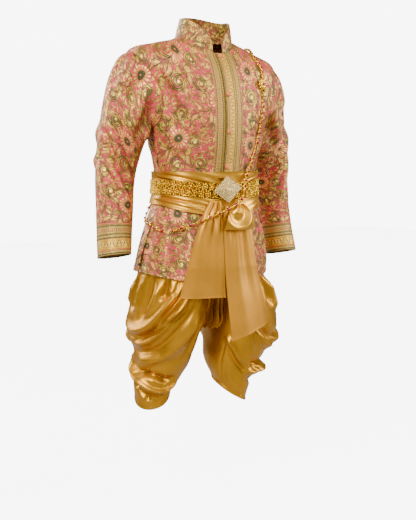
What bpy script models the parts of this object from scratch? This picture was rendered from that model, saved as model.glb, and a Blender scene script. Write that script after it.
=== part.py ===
"""Chut thai court costume: brocade jacket, satin chong kraben, sash, gold belt, chain and brooch.

Units are metres.  +Z is up, the wearer faces -Y and +X is the wearer's left.
The origin is the middle of the neck seam, where the jacket is held on the shoulders.
Heights in the tables are above the floor the wearer stands on.
"""
import math

import bpy
import numpy as np

MOUNT_HEIGHT = 1.380        # neck seam above the floor
WALL = 0.0015               # cloth
SEAM_GAP = 0.0008           # between cut pieces

# ---- jacket -------------------------------------------------------------------------------
# (row, half_width, side_y, side_z, front_y, front_z, back_y, back_z, roundness)
BODY_ROWS = [
    (0.700, 0.215, 0.018, 0.702, -0.147, 0.669, 0.183, 0.702, 2.0),     # hem
    (0.760, 0.203, 0.014, 0.764, -0.143, 0.746, 0.170, 0.764, 2.0),     # seat
    (0.840, 0.181, 0.004, 0.842, -0.136, 0.836, 0.146, 0.842, 2.1),     # hip
    (0.900, 0.161, 0.000, 0.902, -0.130, 0.899, 0.126, 0.902, 2.2),     # under the belt
    (0.945, 0.155, -0.003, 0.946, -0.126, 0.945, 0.117, 0.946, 2.2),    # waist
    (0.995, 0.157, -0.004, 0.996, -0.129, 0.996, 0.117, 0.996, 2.2),    # sash top
    (1.060, 0.171, -0.003, 1.062, -0.138, 1.062, 0.124, 1.063, 2.2),    # ribs
    (1.130, 0.187, 0.000, 1.132, -0.142, 1.130, 0.132, 1.135, 2.3),     # armpit
    (1.220, 0.214, 0.012, 1.225, -0.137, 1.200, 0.130, 1.222, 2.3),     # chest
    (1.310, 0.240, 0.022, 1.323, -0.122, 1.262, 0.116, 1.305, 2.3),     # shoulder point
    (1.385, 0.162, 0.016, 1.355, -0.106, 1.297, 0.104, 1.352, 2.2),     # mid shoulder
    (1.460, 0.083, 0.004, 1.378, -0.086, 1.327, 0.095, 1.396, 2.0),     # neck seam
]
HEM_ROW = 0.700
NECK_ROW = 1.460
ARMHOLE_MID = 1.2125        # row at the middle of the armhole
ARMHOLE_HALF = 0.0975       # rows from there to the shoulder point
SHOULDER_TILT = 0.007       # the right shoulder stands higher, the left lower, by this
ARMHOLE_TURN = 30.0         # degrees the armhole is cut in from the side seam
OVERLAP_EDGE = -0.016       # x of the upper (left) front edge
UNDERLAP_EDGE = 0.020       # x of the lower (right) front edge
FRONT_LIFT = 0.0032         # the left front rides over the right by this

# ---- sleeve: (outer_x, outer_z, inner_x, inner_z, mid_y, half_depth, back_drop) --------------
SLEEVE_ROWS = [
    (0.268, 1.306, 0.1880, 1.097, 0.022, 0.071, 0.00),
    (0.291, 1.255, 0.191, 1.072, 0.029, 0.074, 0.00),
    (0.306, 1.185, 0.198, 1.047, 0.038, 0.072, 0.00),
    (0.317, 1.110, 0.206, 1.018, 0.044, 0.068, 0.00),
    (0.325, 1.040, 0.214, 0.985, 0.048, 0.064, 0.00),
    (0.3290, 0.970, 0.221, 0.942, 0.047, 0.0615, 0.00),
    (0.3330, 0.895, 0.229, 0.882, 0.037, 0.059, 0.10),
    (0.3380, 0.822, 0.239, 0.817, 0.025, 0.056, 0.18),
    (0.3440, 0.753, 0.250, 0.753, 0.010, 0.054, 0.22),
]
LEFT_SLEEVE_DROP = 0.017    # the left cuff hangs lower by this

# ---- collar -------------------------------------------------------------------------------
COLLAR_RIGHT_END = -16.0    # degrees round the neck from the centre front
COLLAR_LEFT_END = 6.0
COLLAR_CORNER = 0.034       # run of the rounded front corner
COLLAR_TOP = (0.074, -0.001, 1.431, -0.0785, 1.384, 0.0685, 1.449)

# ---- trousers: (height, out_x, mid_y, outward, inward, front, back, roundness) --------------
LEG_RIGHT_ROWS = [
    (0.300, 0.128, 0.090, 0.056, 0.046, 0.057, 0.060, 2.0),
    (0.335, 0.125, 0.087, 0.061, 0.050, 0.063, 0.068, 2.0),
    (0.370, 0.121, 0.080, 0.070, 0.060, 0.076, 0.077, 2.0),
    (0.415, 0.115, 0.066, 0.086, 0.077, 0.098, 0.092, 2.0),
    (0.453, 0.111, 0.056, 0.084, 0.079, 0.111, 0.103, 2.0),
    (0.480, 0.108, 0.050, 0.098, 0.080, 0.119, 0.120, 2.0),
    (0.513, 0.106, 0.043, 0.112, 0.083, 0.128, 0.138, 2.0),
    (0.560, 0.100, 0.032, 0.114, 0.085, 0.136, 0.144, 2.1),
    (0.620, 0.095, 0.022, 0.112, 0.086, 0.137, 0.146, 2.1),
    (0.690, 0.090, 0.018, 0.110, 0.086, 0.132, 0.148, 2.1),
    (0.760, 0.090, 0.012, 0.096, 0.086, 0.123, 0.138, 2.1),
    (0.840, 0.086, 0.004, 0.082, 0.083, 0.116, 0.122, 2.1),
    (0.930, 0.078, 0.000, 0.064, 0.076, 0.106, 0.098, 2.1),
]
LEG_LEFT_ROWS = [
    (0.300, 0.098, 0.009, 0.047, 0.050, 0.058, 0.058, 2.0),
    (0.335, 0.098, 0.009, 0.050, 0.057, 0.064, 0.066, 2.0),
    (0.362, 0.099, 0.008, 0.056, 0.066, 0.074, 0.076, 2.0),
    (0.380, 0.100, 0.008, 0.068, 0.073, 0.080, 0.083, 2.0),
    (0.394, 0.101, 0.008, 0.092, 0.077, 0.086, 0.087, 2.0),
    (0.424, 0.103, 0.006, 0.092, 0.083, 0.098, 0.097, 2.0),
    (0.476, 0.107, 0.003, 0.124, 0.084, 0.120, 0.115, 2.0),
    (0.532, 0.107, 0.005, 0.136, 0.085, 0.130, 0.132, 2.0),
    (0.591, 0.103, 0.012, 0.134, 0.086, 0.135, 0.142, 2.1),
    (0.642, 0.098, 0.015, 0.124, 0.086, 0.134, 0.145, 2.1),
    (0.690, 0.092, 0.017, 0.106, 0.086, 0.131, 0.146, 2.1),
    (0.760, 0.090, 0.012, 0.096, 0.086, 0.123, 0.138, 2.1),
    (0.840, 0.086, 0.004, 0.082, 0.083, 0.116, 0.122, 2.1),
    (0.930, 0.078, 0.000, 0.064, 0.076, 0.106, 0.098, 2.1),
]
LEG_BOTTOM = 0.311          # mean height of the trouser hem
LEG_TOP = 0.930
HEM_TILT = 0.034            # the hem drops this far in front of the outer side
LEFT_HEM_LIFT = 0.008       # the left leg's hem sits higher by this
HEM_LOW_TURN = 50.0         # where round the leg the hem is lowest
TUCK_GAP = 0.0070           # trousers inside the jacket by this, wall included
CROTCH = 0.530              # height where the two legs part
GUSSET_HALF = 0.030         # the strip between the legs, half its width
# swags: (lowest_turn, lowest_height, rise, half_spread, spread_power, depth, drop_above, drop_below)
SWAGS_RIGHT = [
    (95.0, 0.503, 0.112, 80.0, 1.6, 0.012, 0.060, 0.012),
    (15.0, 0.352, 0.036, 95.0, 1.6, 0.009, 0.028, 0.010),
    (110.0, 0.404, 0.030, 60.0, 2.0, 0.008, 0.026, 0.010),
]
SWAGS_LEFT = [
    (58.0, 0.470, 0.130, 85.0, 1.6, 0.012, 0.060, 0.012),
    (60.0, 0.384, 0.050, 50.0, 1.8, 0.010, 0.022, 0.010),
]

# ---- sash, belt, buckle ---------------------------------------------------------------------
SASH_WALL = 0.0016
SASH_OUTER = 0.0070         # off the jacket
SASH_FOLD = 0.0012
SASH_COLUMNS = 36
BELT_BACK = 0.0090
BELT_WALL = 0.0026
BELT_HALF_HEIGHT = 0.0225
BELT_MID_SIDE = 0.9475
BELT_MID_FRONT = 0.9370
BUCKLE_HALF_WIDTH = 0.049
BUCKLE_HALF_HEIGHT = 0.0385
BUCKLE_STEPS = 4
BUCKLE_MID_X = -0.012
BUCKLE_STANDOFF = 0.0052
BUCKLE_STEP_RISE = 0.0017

# sash tails: (height, left_x, right_x, off_jacket)
TAIL_RIGHT_ROWS = [
    (0.909, -0.064, -0.0320, 0.0128),
    (0.880, -0.082, -0.0315, 0.0136),
    (0.830, -0.101, -0.0315, 0.0132),
    (0.760, -0.121, -0.0305, 0.0120),
    (0.690, -0.138, -0.0290, 0.0116),
    (0.634, -0.150, -0.0280, 0.0140),
]
TAIL_LEFT_ROWS = [
    (0.895, -0.020, 0.050, 0.0126),
    (0.860, -0.029, 0.068, 0.0128),
    (0.800, -0.029, 0.079, 0.0124),
    (0.704, -0.028, 0.090, 0.0144),
    (0.600, -0.025, 0.112, 0.0270),
    (0.510, -0.021, 0.131, 0.0380),
]
TAIL_LEFT_SLOPE = 0.036     # the left tail's outer corner is higher by this
# loop of the sash: (height, left_x, right_x, off_jacket), down the front layer and up behind
LOOP_ROWS = [
    (0.899, 0.008, 0.040, 0.0175),
    (0.885, -0.010, 0.053, 0.0250),
    (0.862, -0.025, 0.065, 0.0310),
    (0.842, -0.032, 0.070, 0.0325),
    (0.831, -0.033, 0.070, 0.0300),
    (0.828, -0.033, 0.069, 0.0255),
    (0.833, -0.032, 0.068, 0.0210),
    (0.850, -0.029, 0.064, 0.0182),
    (0.875, -0.017, 0.052, 0.0172),
]

# ---- chain: (turn, row, off_jacket) ---------------------------------------------------------
CHAIN_RADIUS = 0.0022
CHAIN_SHOULDER_ROWS = [
    (89.0, 1.396, 0.0042),
    (71.0, 1.397, 0.0042),
    (55.0, 1.387, 0.0042),
    (42.0, 1.356, 0.0042),
    (33.0, 1.322, 0.0042),
    (28.5, 1.278, 0.0042),
    (32.5, 1.236, 0.0042),
    (35.5, 1.190, 0.0040),
    (36.0, 1.110, 0.0040),
    (34.5, 1.060, 0.0040),
    (30.0, 1.022, 0.0056),
    (22.0, 0.996, 0.0122),
    (17.5, 0.972, 0.0162),
    (15.8, 0.948, 0.0172),
    (14.6, 0.928, 0.0180),
]
CHAIN_HIP_ROWS = [
    (13.0, 0.921, 0.0190),
    (6.5, 0.906, 0.0240),
    (-1.5, 0.890, 0.0285),
    (-11.5, 0.8760, 0.0250),
    (-19.0, 0.8660, 0.0205),
    (-27.0, 0.8560, 0.0195),
    (-36.0, 0.8450, 0.0185),
    (-45.0, 0.8360, 0.0110),
    (-54.0, 0.8260, 0.0046),
    (-62.0, 0.8220, 0.0040),
    (-72.0, 0.8240, 0.0040),
    (-84.0, 0.8330, 0.0040),
]
CHAIN_BACK_ROWS = [
    (-86.0, 0.8350, 0.0040),
    (-104.0, 0.845, 0.0040),
    (-120.0, 0.860, 0.0042),
    (-132.0, 0.879, 0.0100),
    (-142.0, 0.906, 0.0158),
    (-152.0, 0.942, 0.0172),
    (-163.0, 0.980, 0.0150),
    (-173.0, 1.008, 0.0080),
    (-184.0, 1.045, 0.0040),
    (-199.0, 1.110, 0.0040),
    (-213.0, 1.185, 0.0040),
    (-228.0, 1.265, 0.0042),
    (-248.0, 1.335, 0.0042),
    (-268.0, 1.390, 0.0042),
]
BUTTON_ROWS = (1.437, 1.233, 1.104, 1.006)
BUTTON_RADIUS = 0.0065
BUTTON_X = -0.0075
BROOCH_TURN = 28.0
BROOCH_ROW = 1.272
BROOCH_RADIUS = 0.017
STONE_RADIUS = 0.0055

COLOURS = {
    "brocade": (0.60, 0.30, 0.22, 0.0, 0.6),
    "satin": (0.60, 0.33, 0.09, 0.0, 0.35),
    "gold": (0.80, 0.52, 0.12, 1.0, 0.3),
    "pave": (0.80, 0.72, 0.52, 1.0, 0.25),
    "ruby": (0.35, 0.01, 0.02, 0.0, 0.1),
    "covered_button": (0.62, 0.25, 0.26, 0.0, 0.6),
}

for old in list(bpy.data.objects):
    bpy.data.objects.remove(old, do_unlink=True)


def material(name):
    got = bpy.data.materials.get(name)
    if got is not None:
        return got
    red, green, blue, metallic, rough = COLOURS[name]
    got = bpy.data.materials.new(name)
    got.use_nodes = True
    shader = got.node_tree.nodes["Principled BSDF"]
    shader.inputs["Base Color"].default_value = (red, green, blue, 1.0)
    shader.inputs["Metallic"].default_value = metallic
    shader.inputs["Roughness"].default_value = rough
    return got


def add_mesh(name, verts, faces, slot):
    mesh = bpy.data.meshes.new(name)
    moved = [(float(p[0]), float(p[1]), float(p[2]) - MOUNT_HEIGHT) for p in verts]
    mesh.from_pydata(moved, [], [tuple(int(i) for i in f) for f in faces])
    mesh.validate()
    mesh.update()
    item = bpy.data.objects.new(name, mesh)
    bpy.context.scene.collection.objects.link(item)
    mesh.materials.append(material(slot))
    return item


def table(rows, at):
    """Smooth curve through a table whose first column is the key."""
    keys = np.array([r[0] for r in rows])
    data = np.array([r[1:] for r in rows])
    slopes = np.zeros_like(data)
    step = np.diff(keys)[:, None]
    rate = np.diff(data, axis=0) / step
    slopes[1:-1] = (rate[:-1] * step[1:] + rate[1:] * step[:-1]) / (step[1:] + step[:-1])
    slopes[0] = rate[0]
    slopes[-1] = rate[-1]
    at = min(max(at, keys[0]), keys[-1])
    k = int(min(max(np.searchsorted(keys, at) - 1, 0), len(keys) - 2))
    h = keys[k + 1] - keys[k]
    t = (at - keys[k]) / h
    first = (2 * t ** 3 - 3 * t ** 2 + 1) * data[k] + (t ** 3 - 2 * t ** 2 + t) * h * slopes[k]
    return first + (3 * t ** 2 - 2 * t ** 3) * data[k + 1] + (t ** 3 - t ** 2) * h * slopes[k + 1]


def smooth(low, high, x):
    t = min(max((x - low) / (high - low), 0.0), 1.0)
    return t * t * (3.0 - 2.0 * t)


def power(value, exponent):
    return math.copysign(abs(value) ** exponent, value)


def shoulder_share(row):
    return smooth(1.12, 1.30, row) * (1.0 - smooth(1.34, 1.45, row))


def body(turn, row):
    """Point on the jacket's outer form: turn 0 is centre front, +90 the wearer's left side."""
    half, side_y, side_z, front_y, front_z, back_y, back_z, n = table(BODY_ROWS, row)
    angle = math.radians(turn)
    across = power(math.sin(angle), 2.0 / n)
    along = power(math.cos(angle), 2.0 / n)
    if along >= 0.0:
        y = side_y + (front_y - side_y) * along
        z = side_z + (front_z - side_z) * along * along
    else:
        y = side_y - (back_y - side_y) * along
        z = side_z + (back_z - side_z) * along * along
    z -= SHOULDER_TILT * across * shoulder_share(row)
    return np.array([half * across, y, z])


def unit(v):
    size = np.linalg.norm(v)
    return v / size if size > 1e-12 else np.array([0.0, 0.0, 1.0])


def body_normal(turn, row):
    low = max(row - 0.004, HEM_ROW)
    high = min(row + 0.004, NECK_ROW)
    across = body(turn + 1.5, row) - body(turn - 1.5, row)
    up = body(turn, high) - body(turn, low)
    return unit(np.cross(across, up))


def off_body(turn, row, off):
    return body(turn, row) + off * body_normal(turn, row)


def turn_at_x(x, row):
    """Turn on the front of the body whose point has this x."""
    half = table(BODY_ROWS, row)[0]
    n = table(BODY_ROWS, row)[7]
    share = min(abs(x) / half, 0.98)
    return math.copysign(math.degrees(math.asin(share ** (n / 2.0))), x)


def grid_normals(grid, wrap):
    rows, cols, _ = grid.shape
    out = np.zeros_like(grid)
    for r in range(rows):
        for c in range(cols):
            left = (c - 1) % cols if wrap else max(c - 1, 0)
            right = (c + 1) % cols if wrap else min(c + 1, cols - 1)
            down = max(r - 1, 0)
            up = min(r + 1, rows - 1)
            out[r, c] = unit(np.cross(grid[r, right] - grid[r, left], grid[up, c] - grid[down, c]))
    return out


def wall(name, grid, slot, thick=WALL, wrap=False, keep=None, inward=1.0):
    """Closed thin wall on a grid of outer points; the other face is moved in by the thickness."""
    grid = np.array(grid)
    rows, cols, _ = grid.shape
    normals = grid_normals(grid, wrap)
    inner = grid - inward * thick * normals
    total = rows * cols
    faces = []
    last = cols if wrap else cols - 1
    for r in range(rows - 1):
        for c in range(last):
            if keep is not None and not keep(r, c):
                continue
            d = (c + 1) % cols
            quad = [r * cols + c, r * cols + d, (r + 1) * cols + d, (r + 1) * cols + c]
            faces.append(quad if inward > 0 else quad[::-1])
    edges = {}
    for quad in faces:
        for k in range(4):
            edges[(quad[k], quad[(k + 1) % 4])] = True
    back = [[i + total for i in reversed(quad)] for quad in faces]
    rim = [[b, a, a + total, b + total] for (a, b) in edges if (b, a) not in edges]
    every = faces + back + rim
    used = sorted({i for quad in every for i in quad})
    index = {old: new for new, old in enumerate(used)}
    points = np.vstack([grid.reshape(-1, 3), inner.reshape(-1, 3)])
    return add_mesh(name, [points[i] for i in used], [[index[i] for i in q] for q in every], slot)


def spaced(low, high, count):
    return [low + (high - low) * k / (count - 1) for k in range(count)]


# ---- jacket panels --------------------------------------------------------------------------
def armhole_turn(row, grow=0.0):
    share = (row - ARMHOLE_MID) / (ARMHOLE_HALF + grow)
    if abs(share) >= 1.0:
        return 0.0
    return (ARMHOLE_TURN + grow * 300.0) * math.sqrt(1.0 - share * share)


BODY_LEVELS = ([HEM_ROW, 0.755, 0.810, 0.855, 0.885, 0.915, 0.945, 0.975, 1.010, 1.060]
               + [ARMHOLE_MID - ARMHOLE_HALF * math.cos(math.pi * k / 8) for k in range(9)]
               + [1.335, 1.370, 1.415, NECK_ROW])
SEAM_TURN = 0.12


def front_lift(x):
    return FRONT_LIFT * (1.0 - smooth(0.028, 0.055, x))


def front_grid(side, count):
    grid = []
    for row in BODY_LEVELS:
        edge = OVERLAP_EDGE if side > 0 else UNDERLAP_EDGE
        start = turn_at_x(edge, row)
        end = side * (90.0 - SEAM_TURN - armhole_turn(row))
        line = []
        for k in range(count):
            share = k / (count - 1)
            if side > 0:
                turn = start + (end - start) * share ** 1.1
                point = body(turn, row)
                line.append(point + front_lift(point[0]) * body_normal(turn, row))
            else:
                turn = end + (start - end) * share
                line.append(body(turn, row))
        grid.append(line)
    return grid


def back_grid(count):
    grid = []
    for row in BODY_LEVELS:
        cut = armhole_turn(row)
        start = 90.0 + SEAM_TURN + cut
        grid.append([body(turn, row) for turn in spaced(start, 360.0 - start, count)])
    return grid


wall("jacket_front_left", front_grid(1, 9), "brocade")
wall("jacket_front_right", front_grid(-1, 8), "brocade")
wall("jacket_back", back_grid(13), "brocade")


# ---- sleeves --------------------------------------------------------------------------------
SLEEVE_COLUMNS = 16


def sleeve_grid(side):
    grid = []
    line = []
    for k in range(SLEEVE_COLUMNS):
        angle = 2.0 * math.pi * k / SLEEVE_COLUMNS
        row = ARMHOLE_MID + (ARMHOLE_HALF - 0.0014) * math.cos(angle)
        cut = (ARMHOLE_TURN - 0.50) * math.sin(angle)
        line.append(body(side * (90.0 - cut), row))
    grid.append(line)
    for number, values in enumerate(SLEEVE_ROWS):
        outer_x, outer_z, inner_x, inner_z, mid_y, depth, drop = values
        share = number / (len(SLEEVE_ROWS) - 1)
        lower = LEFT_SLEEVE_DROP * smooth(0.4, 1.0, share) if side > 0 else 0.0
        lower += side * SHOULDER_TILT * (1.0 - smooth(0.0, 0.6, share))
        line = []
        for k in range(SLEEVE_COLUMNS):
            angle = 2.0 * math.pi * k / SLEEVE_COLUMNS
            share = 0.5 + 0.5 * math.cos(angle)
            x = inner_x + (outer_x - inner_x) * share
            y = mid_y - depth * math.sin(angle)
            z = inner_z + (outer_z - inner_z) * share - drop * (y - mid_y) - lower
            line.append([side * x, y, z])
        grid.append(line)
    if side > 0:
        grid = [list(reversed(line)) for line in grid]
    return grid[::-1]


wall("sleeve_left", sleeve_grid(1), "brocade", wrap=True)
wall("sleeve_right", sleeve_grid(-1), "brocade", wrap=True)


# ---- collar ---------------------------------------------------------------------------------
def collar_point(turn, share):
    base = body(turn, NECK_ROW)
    base = base + np.array([-0.0012 * math.sin(math.radians(turn)),
                            0.0012 * math.cos(math.radians(turn)), 0.0012])
    half, side_y, side_z, front_y, front_z, back_y, back_z = COLLAR_TOP
    s = math.sin(math.radians(turn))
    c = math.cos(math.radians(turn))
    if c >= 0:
        top = np.array([half * s, side_y + (front_y - side_y) * c, side_z + (front_z - side_z) * c * c])
    else:
        top = np.array([half * s, side_y - (back_y - side_y) * c, side_z + (back_z - side_z) * c * c])
    return base + (top - base) * share


def collar_grid(count, levels):
    turns = [COLLAR_LEFT_END + (360.0 + COLLAR_RIGHT_END - COLLAR_LEFT_END)
             * (k / (count - 1) - 0.032 * math.sin(4 * math.pi * k / (count - 1)))
             for k in range(count)]
    grid = []
    for level in range(levels):
        line = []
        for turn in turns:
            run = math.radians(min(turn - COLLAR_LEFT_END,
                                   360.0 + COLLAR_RIGHT_END - turn)) * 0.08
            corner = max(0.0, 1.0 - run / COLLAR_CORNER)
            top = math.sqrt(max(1.0 - corner ** 2, 0.0))
            top = 0.35 + 0.65 * top
            line.append(collar_point(turn, top * level / (levels - 1)))
        grid.append(line)
    return grid


wall("collar", collar_grid(29, 4), "brocade")


# ---- chong kraben ---------------------------------------------------------------------------
def swag_offset(swags, turn, z):
    """How far the hanging folds stand out; turn 0 is front, 90 outer side, 180 back."""
    total = 0.0
    for low_turn, low_z, rise, spread, bend, depth, above, below in swags:
        away = abs(((turn - low_turn + 180.0) % 360.0) - 180.0) / spread
        if away > 1.25:
            continue
        lip = low_z + rise * away ** bend
        fade = 1.0 - smooth(0.75, 1.25, away)
        gap = z - lip
        if gap >= 0.0:
            shape = math.exp(-gap / above) * smooth(-0.006, 0.010, gap)
        else:
            shape = smooth(-0.010, 0.0, gap) * 0.5 - 0.55 * math.exp(-((gap + below) / below) ** 2)
        total += depth * fade * shape
    return total


def tuck(x, y, z):
    """Keep the top of the trousers inside the jacket, or free of it under the hem."""
    weight = smooth(0.640, 0.685, z)
    if weight <= 0.0:
        return x, y
    row = max(z + 0.033 * (1.0 - smooth(0.74, 0.86, z)), HEM_ROW)
    half, side_y, _, front_y, _, back_y, _, n = table(BODY_ROWS, row)
    depth = (side_y - front_y if y < side_y else back_y - side_y) - TUCK_GAP
    reach = (abs(x) / (half - TUCK_GAP)) ** n + (abs(y - side_y) / depth) ** n
    if reach <= 1.0:
        return x, y
    shrink = 1.0 + (reach ** (-1.0 / n) - 1.0) * weight
    return x * shrink, side_y + (y - side_y) * shrink


def leg_point(side, turn, z, flat=False):
    rows = LEG_LEFT_ROWS if side > 0 else LEG_RIGHT_ROWS
    mid_x, mid_y, outward, inward, front, back, n = table(rows, z)
    angle = math.radians(turn)
    across = power(math.sin(angle), 2.0 / n)
    along = power(math.cos(angle), 2.0 / n)
    x = mid_x + (outward if across > 0 else inward) * across
    y = mid_y - (front if along > 0 else back) * along
    if not flat:
        swags = SWAGS_LEFT if side > 0 else SWAGS_RIGHT
        off = swag_offset(swags, turn, z) * (1.0 - smooth(0.60, 0.66, z)) * smooth(0.30, 0.34, z)
        x += off * math.sin(angle)
        y -= off * math.cos(angle)
    return tuck(x, y, z)


def edge_turn(side, z, back):
    """Turn at which the leg reaches the strip between the legs."""
    rows = LEG_LEFT_ROWS if side > 0 else LEG_RIGHT_ROWS
    mid_x, _, _, inward, _, _, n = table(rows, z)
    share = min((mid_x - GUSSET_HALF) / inward, 0.90)
    angle = math.degrees(math.asin(share ** (n / 2.0)))
    return 180.0 + angle if back else -angle


LEG_LEVELS = [0.311, 0.332, 0.350, 0.366, 0.382, 0.398, 0.414, 0.432, 0.452, 0.472, 0.488,
              0.502, 0.516, CROTCH, 0.552, 0.580, 0.615, 0.660, 0.705, 0.780, 0.860, LEG_TOP]
LEG_OUTER = 17
LEG_INNER = 5


def leg_grid(side):
    grid = []
    for z in LEG_LEVELS:
        start = edge_turn(side, z, False)
        end = edge_turn(side, z, True)
        turns = spaced(start, end, LEG_OUTER) + spaced(end, 360.0 + start, LEG_INNER + 1)[1:-1]
        line = []
        for turn in turns:
            fade = 1.0 - smooth(LEG_BOTTOM, 0.46, z)
            level = z - fade * HEM_TILT * math.cos(math.radians(turn - HEM_LOW_TURN))
            if side > 0:
                level += LEFT_HEM_LIFT * (1.0 - smooth(LEG_BOTTOM, 0.36, z))
            x, y = leg_point(side, turn, max(z, 0.3))
            line.append([side * x, y, level])
        grid.append(line)
    return grid


def leg(name, side):
    crotch_row = LEG_LEVELS.index(CROTCH)
    grid = leg_grid(side)
    if side < 0:
        grid = [[line[0]] + list(reversed(line[1:])) for line in grid]
    cols = len(grid[0])
    if side > 0:
        inner = set(range(LEG_OUTER - 1, cols))
    else:
        inner = set(range(0, cols - LEG_OUTER + 1))

    def keep(r, c):
        return r < crotch_row or c not in inner

    return wall(name, grid, "satin", wrap=True, keep=keep)


leg("chong_kraben_leg_right", -1)
leg("chong_kraben_leg_left", 1)


def gusset_edge(side):
    """Where the strip between the legs meets one leg, from the front top to the back top."""
    crotch_row = LEG_LEVELS.index(CROTCH)
    grid = leg_grid(side)
    cols = len(grid[0])
    front = [grid[r][0] for r in range(len(LEG_LEVELS) - 1, crotch_row - 1, -1)]
    under = [grid[crotch_row][c] for c in range(cols - 1, LEG_OUTER - 1, -1)]
    rear = [grid[r][LEG_OUTER - 1] for r in range(crotch_row, len(LEG_LEVELS))]
    return np.array(front), np.array(under), np.array(rear)


def gusset_grid(right, left, sag, fold, columns):
    grid = []
    count = len(right)
    for k in range(count):
        line = []
        gap = 2.2 * SEAM_GAP / max(np.linalg.norm(left[k] - right[k]), 0.02)
        for c in range(columns):
            share = gap + (1.0 - 2.0 * gap) * c / (columns - 1)
            point = right[k] + (left[k] - right[k]) * share
            bow = math.sin(math.pi * c / (columns - 1))
            ripple = math.sin(2.0 * math.pi * 2.0 * c / (columns - 1)) * fold
            line.append(point + sag[k] * bow + sag[k] * ripple)
        grid.append(line)
    return np.array(grid)


def gusset():
    right = gusset_edge(-1)
    left = gusset_edge(1)
    half = len(right[1]) // 2
    front_r = np.vstack([right[0], right[1][:half]])
    front_l = np.vstack([left[0], left[1][:half]])
    rear_r = np.vstack([right[1][half:], right[2]])
    rear_l = np.vstack([left[1][half:], left[2]])
    # the two strips meet under the seat; the rear one starts a seam gap further back
    join_r = 0.5 * (front_r[-1] + rear_r[0])
    join_l = 0.5 * (front_l[-1] + rear_l[0])
    front_r[-1] = join_r + np.array([0.0, -SEAM_GAP, 0.0])
    front_l[-1] = join_l + np.array([0.0, -SEAM_GAP, 0.0])
    rear_r[0] = join_r + np.array([0.0, SEAM_GAP, 0.0])
    rear_l[0] = join_l + np.array([0.0, SEAM_GAP, 0.0])
    count = len(front_r)
    front_sag = [np.array([0.0, -0.010, -0.006]) * smooth(-1.0, 4.0, count - 2 - k) for k in range(count)]
    rear_sag = [np.array([0.0, 0.012, -0.004]) * smooth(-1.0, 4.0, k - 1) for k in range(len(rear_r))]
    front = gusset_grid(front_r, front_l, front_sag, 0.35, 7)[::-1]
    rear = gusset_grid(rear_r, rear_l, rear_sag, 0.35, 7)[:, ::-1]
    wall("chong_kraben_front_swag", front, "satin")
    wall("chong_kraben_back_tail", rear, "satin")


gusset()


# ---- sash -----------------------------------------------------------------------------------
def sash_low(turn):
    """Lower edge of the sash: drops to the knot at the front."""
    near = math.cos(math.radians(min(abs(turn + 8.0), 180.0)))
    return 0.896 - 0.026 * max(near, 0.0) ** 2


def sash_grid(low_of, high_of, phase, levels):
    grid = []
    for level in range(levels):
        share = level / (levels - 1)
        line = []
        for k in range(SASH_COLUMNS):
            turn = -180.0 + 360.0 * k / SASH_COLUMNS
            row = low_of(turn) + (high_of(turn) - low_of(turn)) * share
            lean = 0.9 * math.sin(math.radians(turn * 1.0 + phase))
            fold = SASH_FOLD * math.sin(2.0 * math.pi * (share * 1.5) + lean)
            line.append(off_body(turn, row, SASH_OUTER + fold))
        grid.append(line)
    return grid


def belt_mid(turn):
    near = max(math.cos(math.radians(turn)), 0.0)
    return BELT_MID_SIDE + (BELT_MID_FRONT - BELT_MID_SIDE) * near * near


wall("sash_wrap_upper", sash_grid(lambda t: belt_mid(t) + 0.001, lambda t: 0.992, 20.0, 4),
     "satin", thick=SASH_WALL, wrap=True)
wall("sash_wrap_lower", sash_grid(sash_low, lambda t: belt_mid(t) - 0.001, 90.0, 4),
     "satin", thick=SASH_WALL, wrap=True)


def tail_point(x, z, off):
    """A point hanging in front of the jacket; under the hem the cloth falls straight."""
    row = max(z, 0.72)
    turn = turn_at_x(x, row)
    point = body(turn, row)
    normal = body_normal(turn, row)
    flat = unit(np.array([normal[0], normal[1], 0.0]))
    return np.array([x, point[1], z]) + off * np.array([flat[0] * 0.3, flat[1], 0.0])


def tail_grid(rows, levels, columns, slope, fold, waves):
    keyed = [(-r[0],) + tuple(r[1:]) for r in rows]
    grid = []
    top = rows[0][0]
    low = rows[-1][0]
    for level in range(levels):
        z = top + (low - top) * (level / (levels - 1))
        left, right, off = table(keyed, -z)
        line = []
        for c in range(columns):
            share = c / (columns - 1)
            x = left + (right - left) * share
            soft = 1.0 - smooth(0.0, 0.55, (top - z) / (top - low))
            ripple = fold * (0.25 + soft) * math.sin(2.0 * math.pi * waves * share + 0.6)
            drop = slope * share * smooth(0.3, 1.0, (top - z) / (top - low))
            line.append(tail_point(x, z + drop, off + ripple))
        grid.append(line)
    return np.array(grid)[::-1]


wall("sash_tail_right", tail_grid(TAIL_RIGHT_ROWS, 10, 10, 0.0, 0.0016, 2.0), "satin")
wall("sash_tail_left", tail_grid(TAIL_LEFT_ROWS, 11, 10, TAIL_LEFT_SLOPE, 0.0014, 2.0), "satin")


def loop_grid(columns):
    grid = []
    for z, left, right, off in LOOP_ROWS:
        line = []
        for c in range(columns):
            share = c / (columns - 1)
            x = left + (right - left) * share
            line.append(tail_point(x, z, off))
        grid.append(line)
    return np.array(grid)[::-1]


wall("sash_loop_left", loop_grid(10), "satin")


# ---- belt and buckle ------------------------------------------------------------------------
def belt_grid():
    grid = []
    for level in range(3):
        line = []
        for k in range(56):
            turn = -180.0 + 360.0 * k / 56
            row = belt_mid(turn) + BELT_HALF_HEIGHT * (level - 1)
            line.append(off_body(turn, row, BELT_BACK + BELT_WALL))
        grid.append(line)
    return grid


wall("belt_band", belt_grid(), "gold", thick=BELT_WALL, wrap=True)


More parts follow.
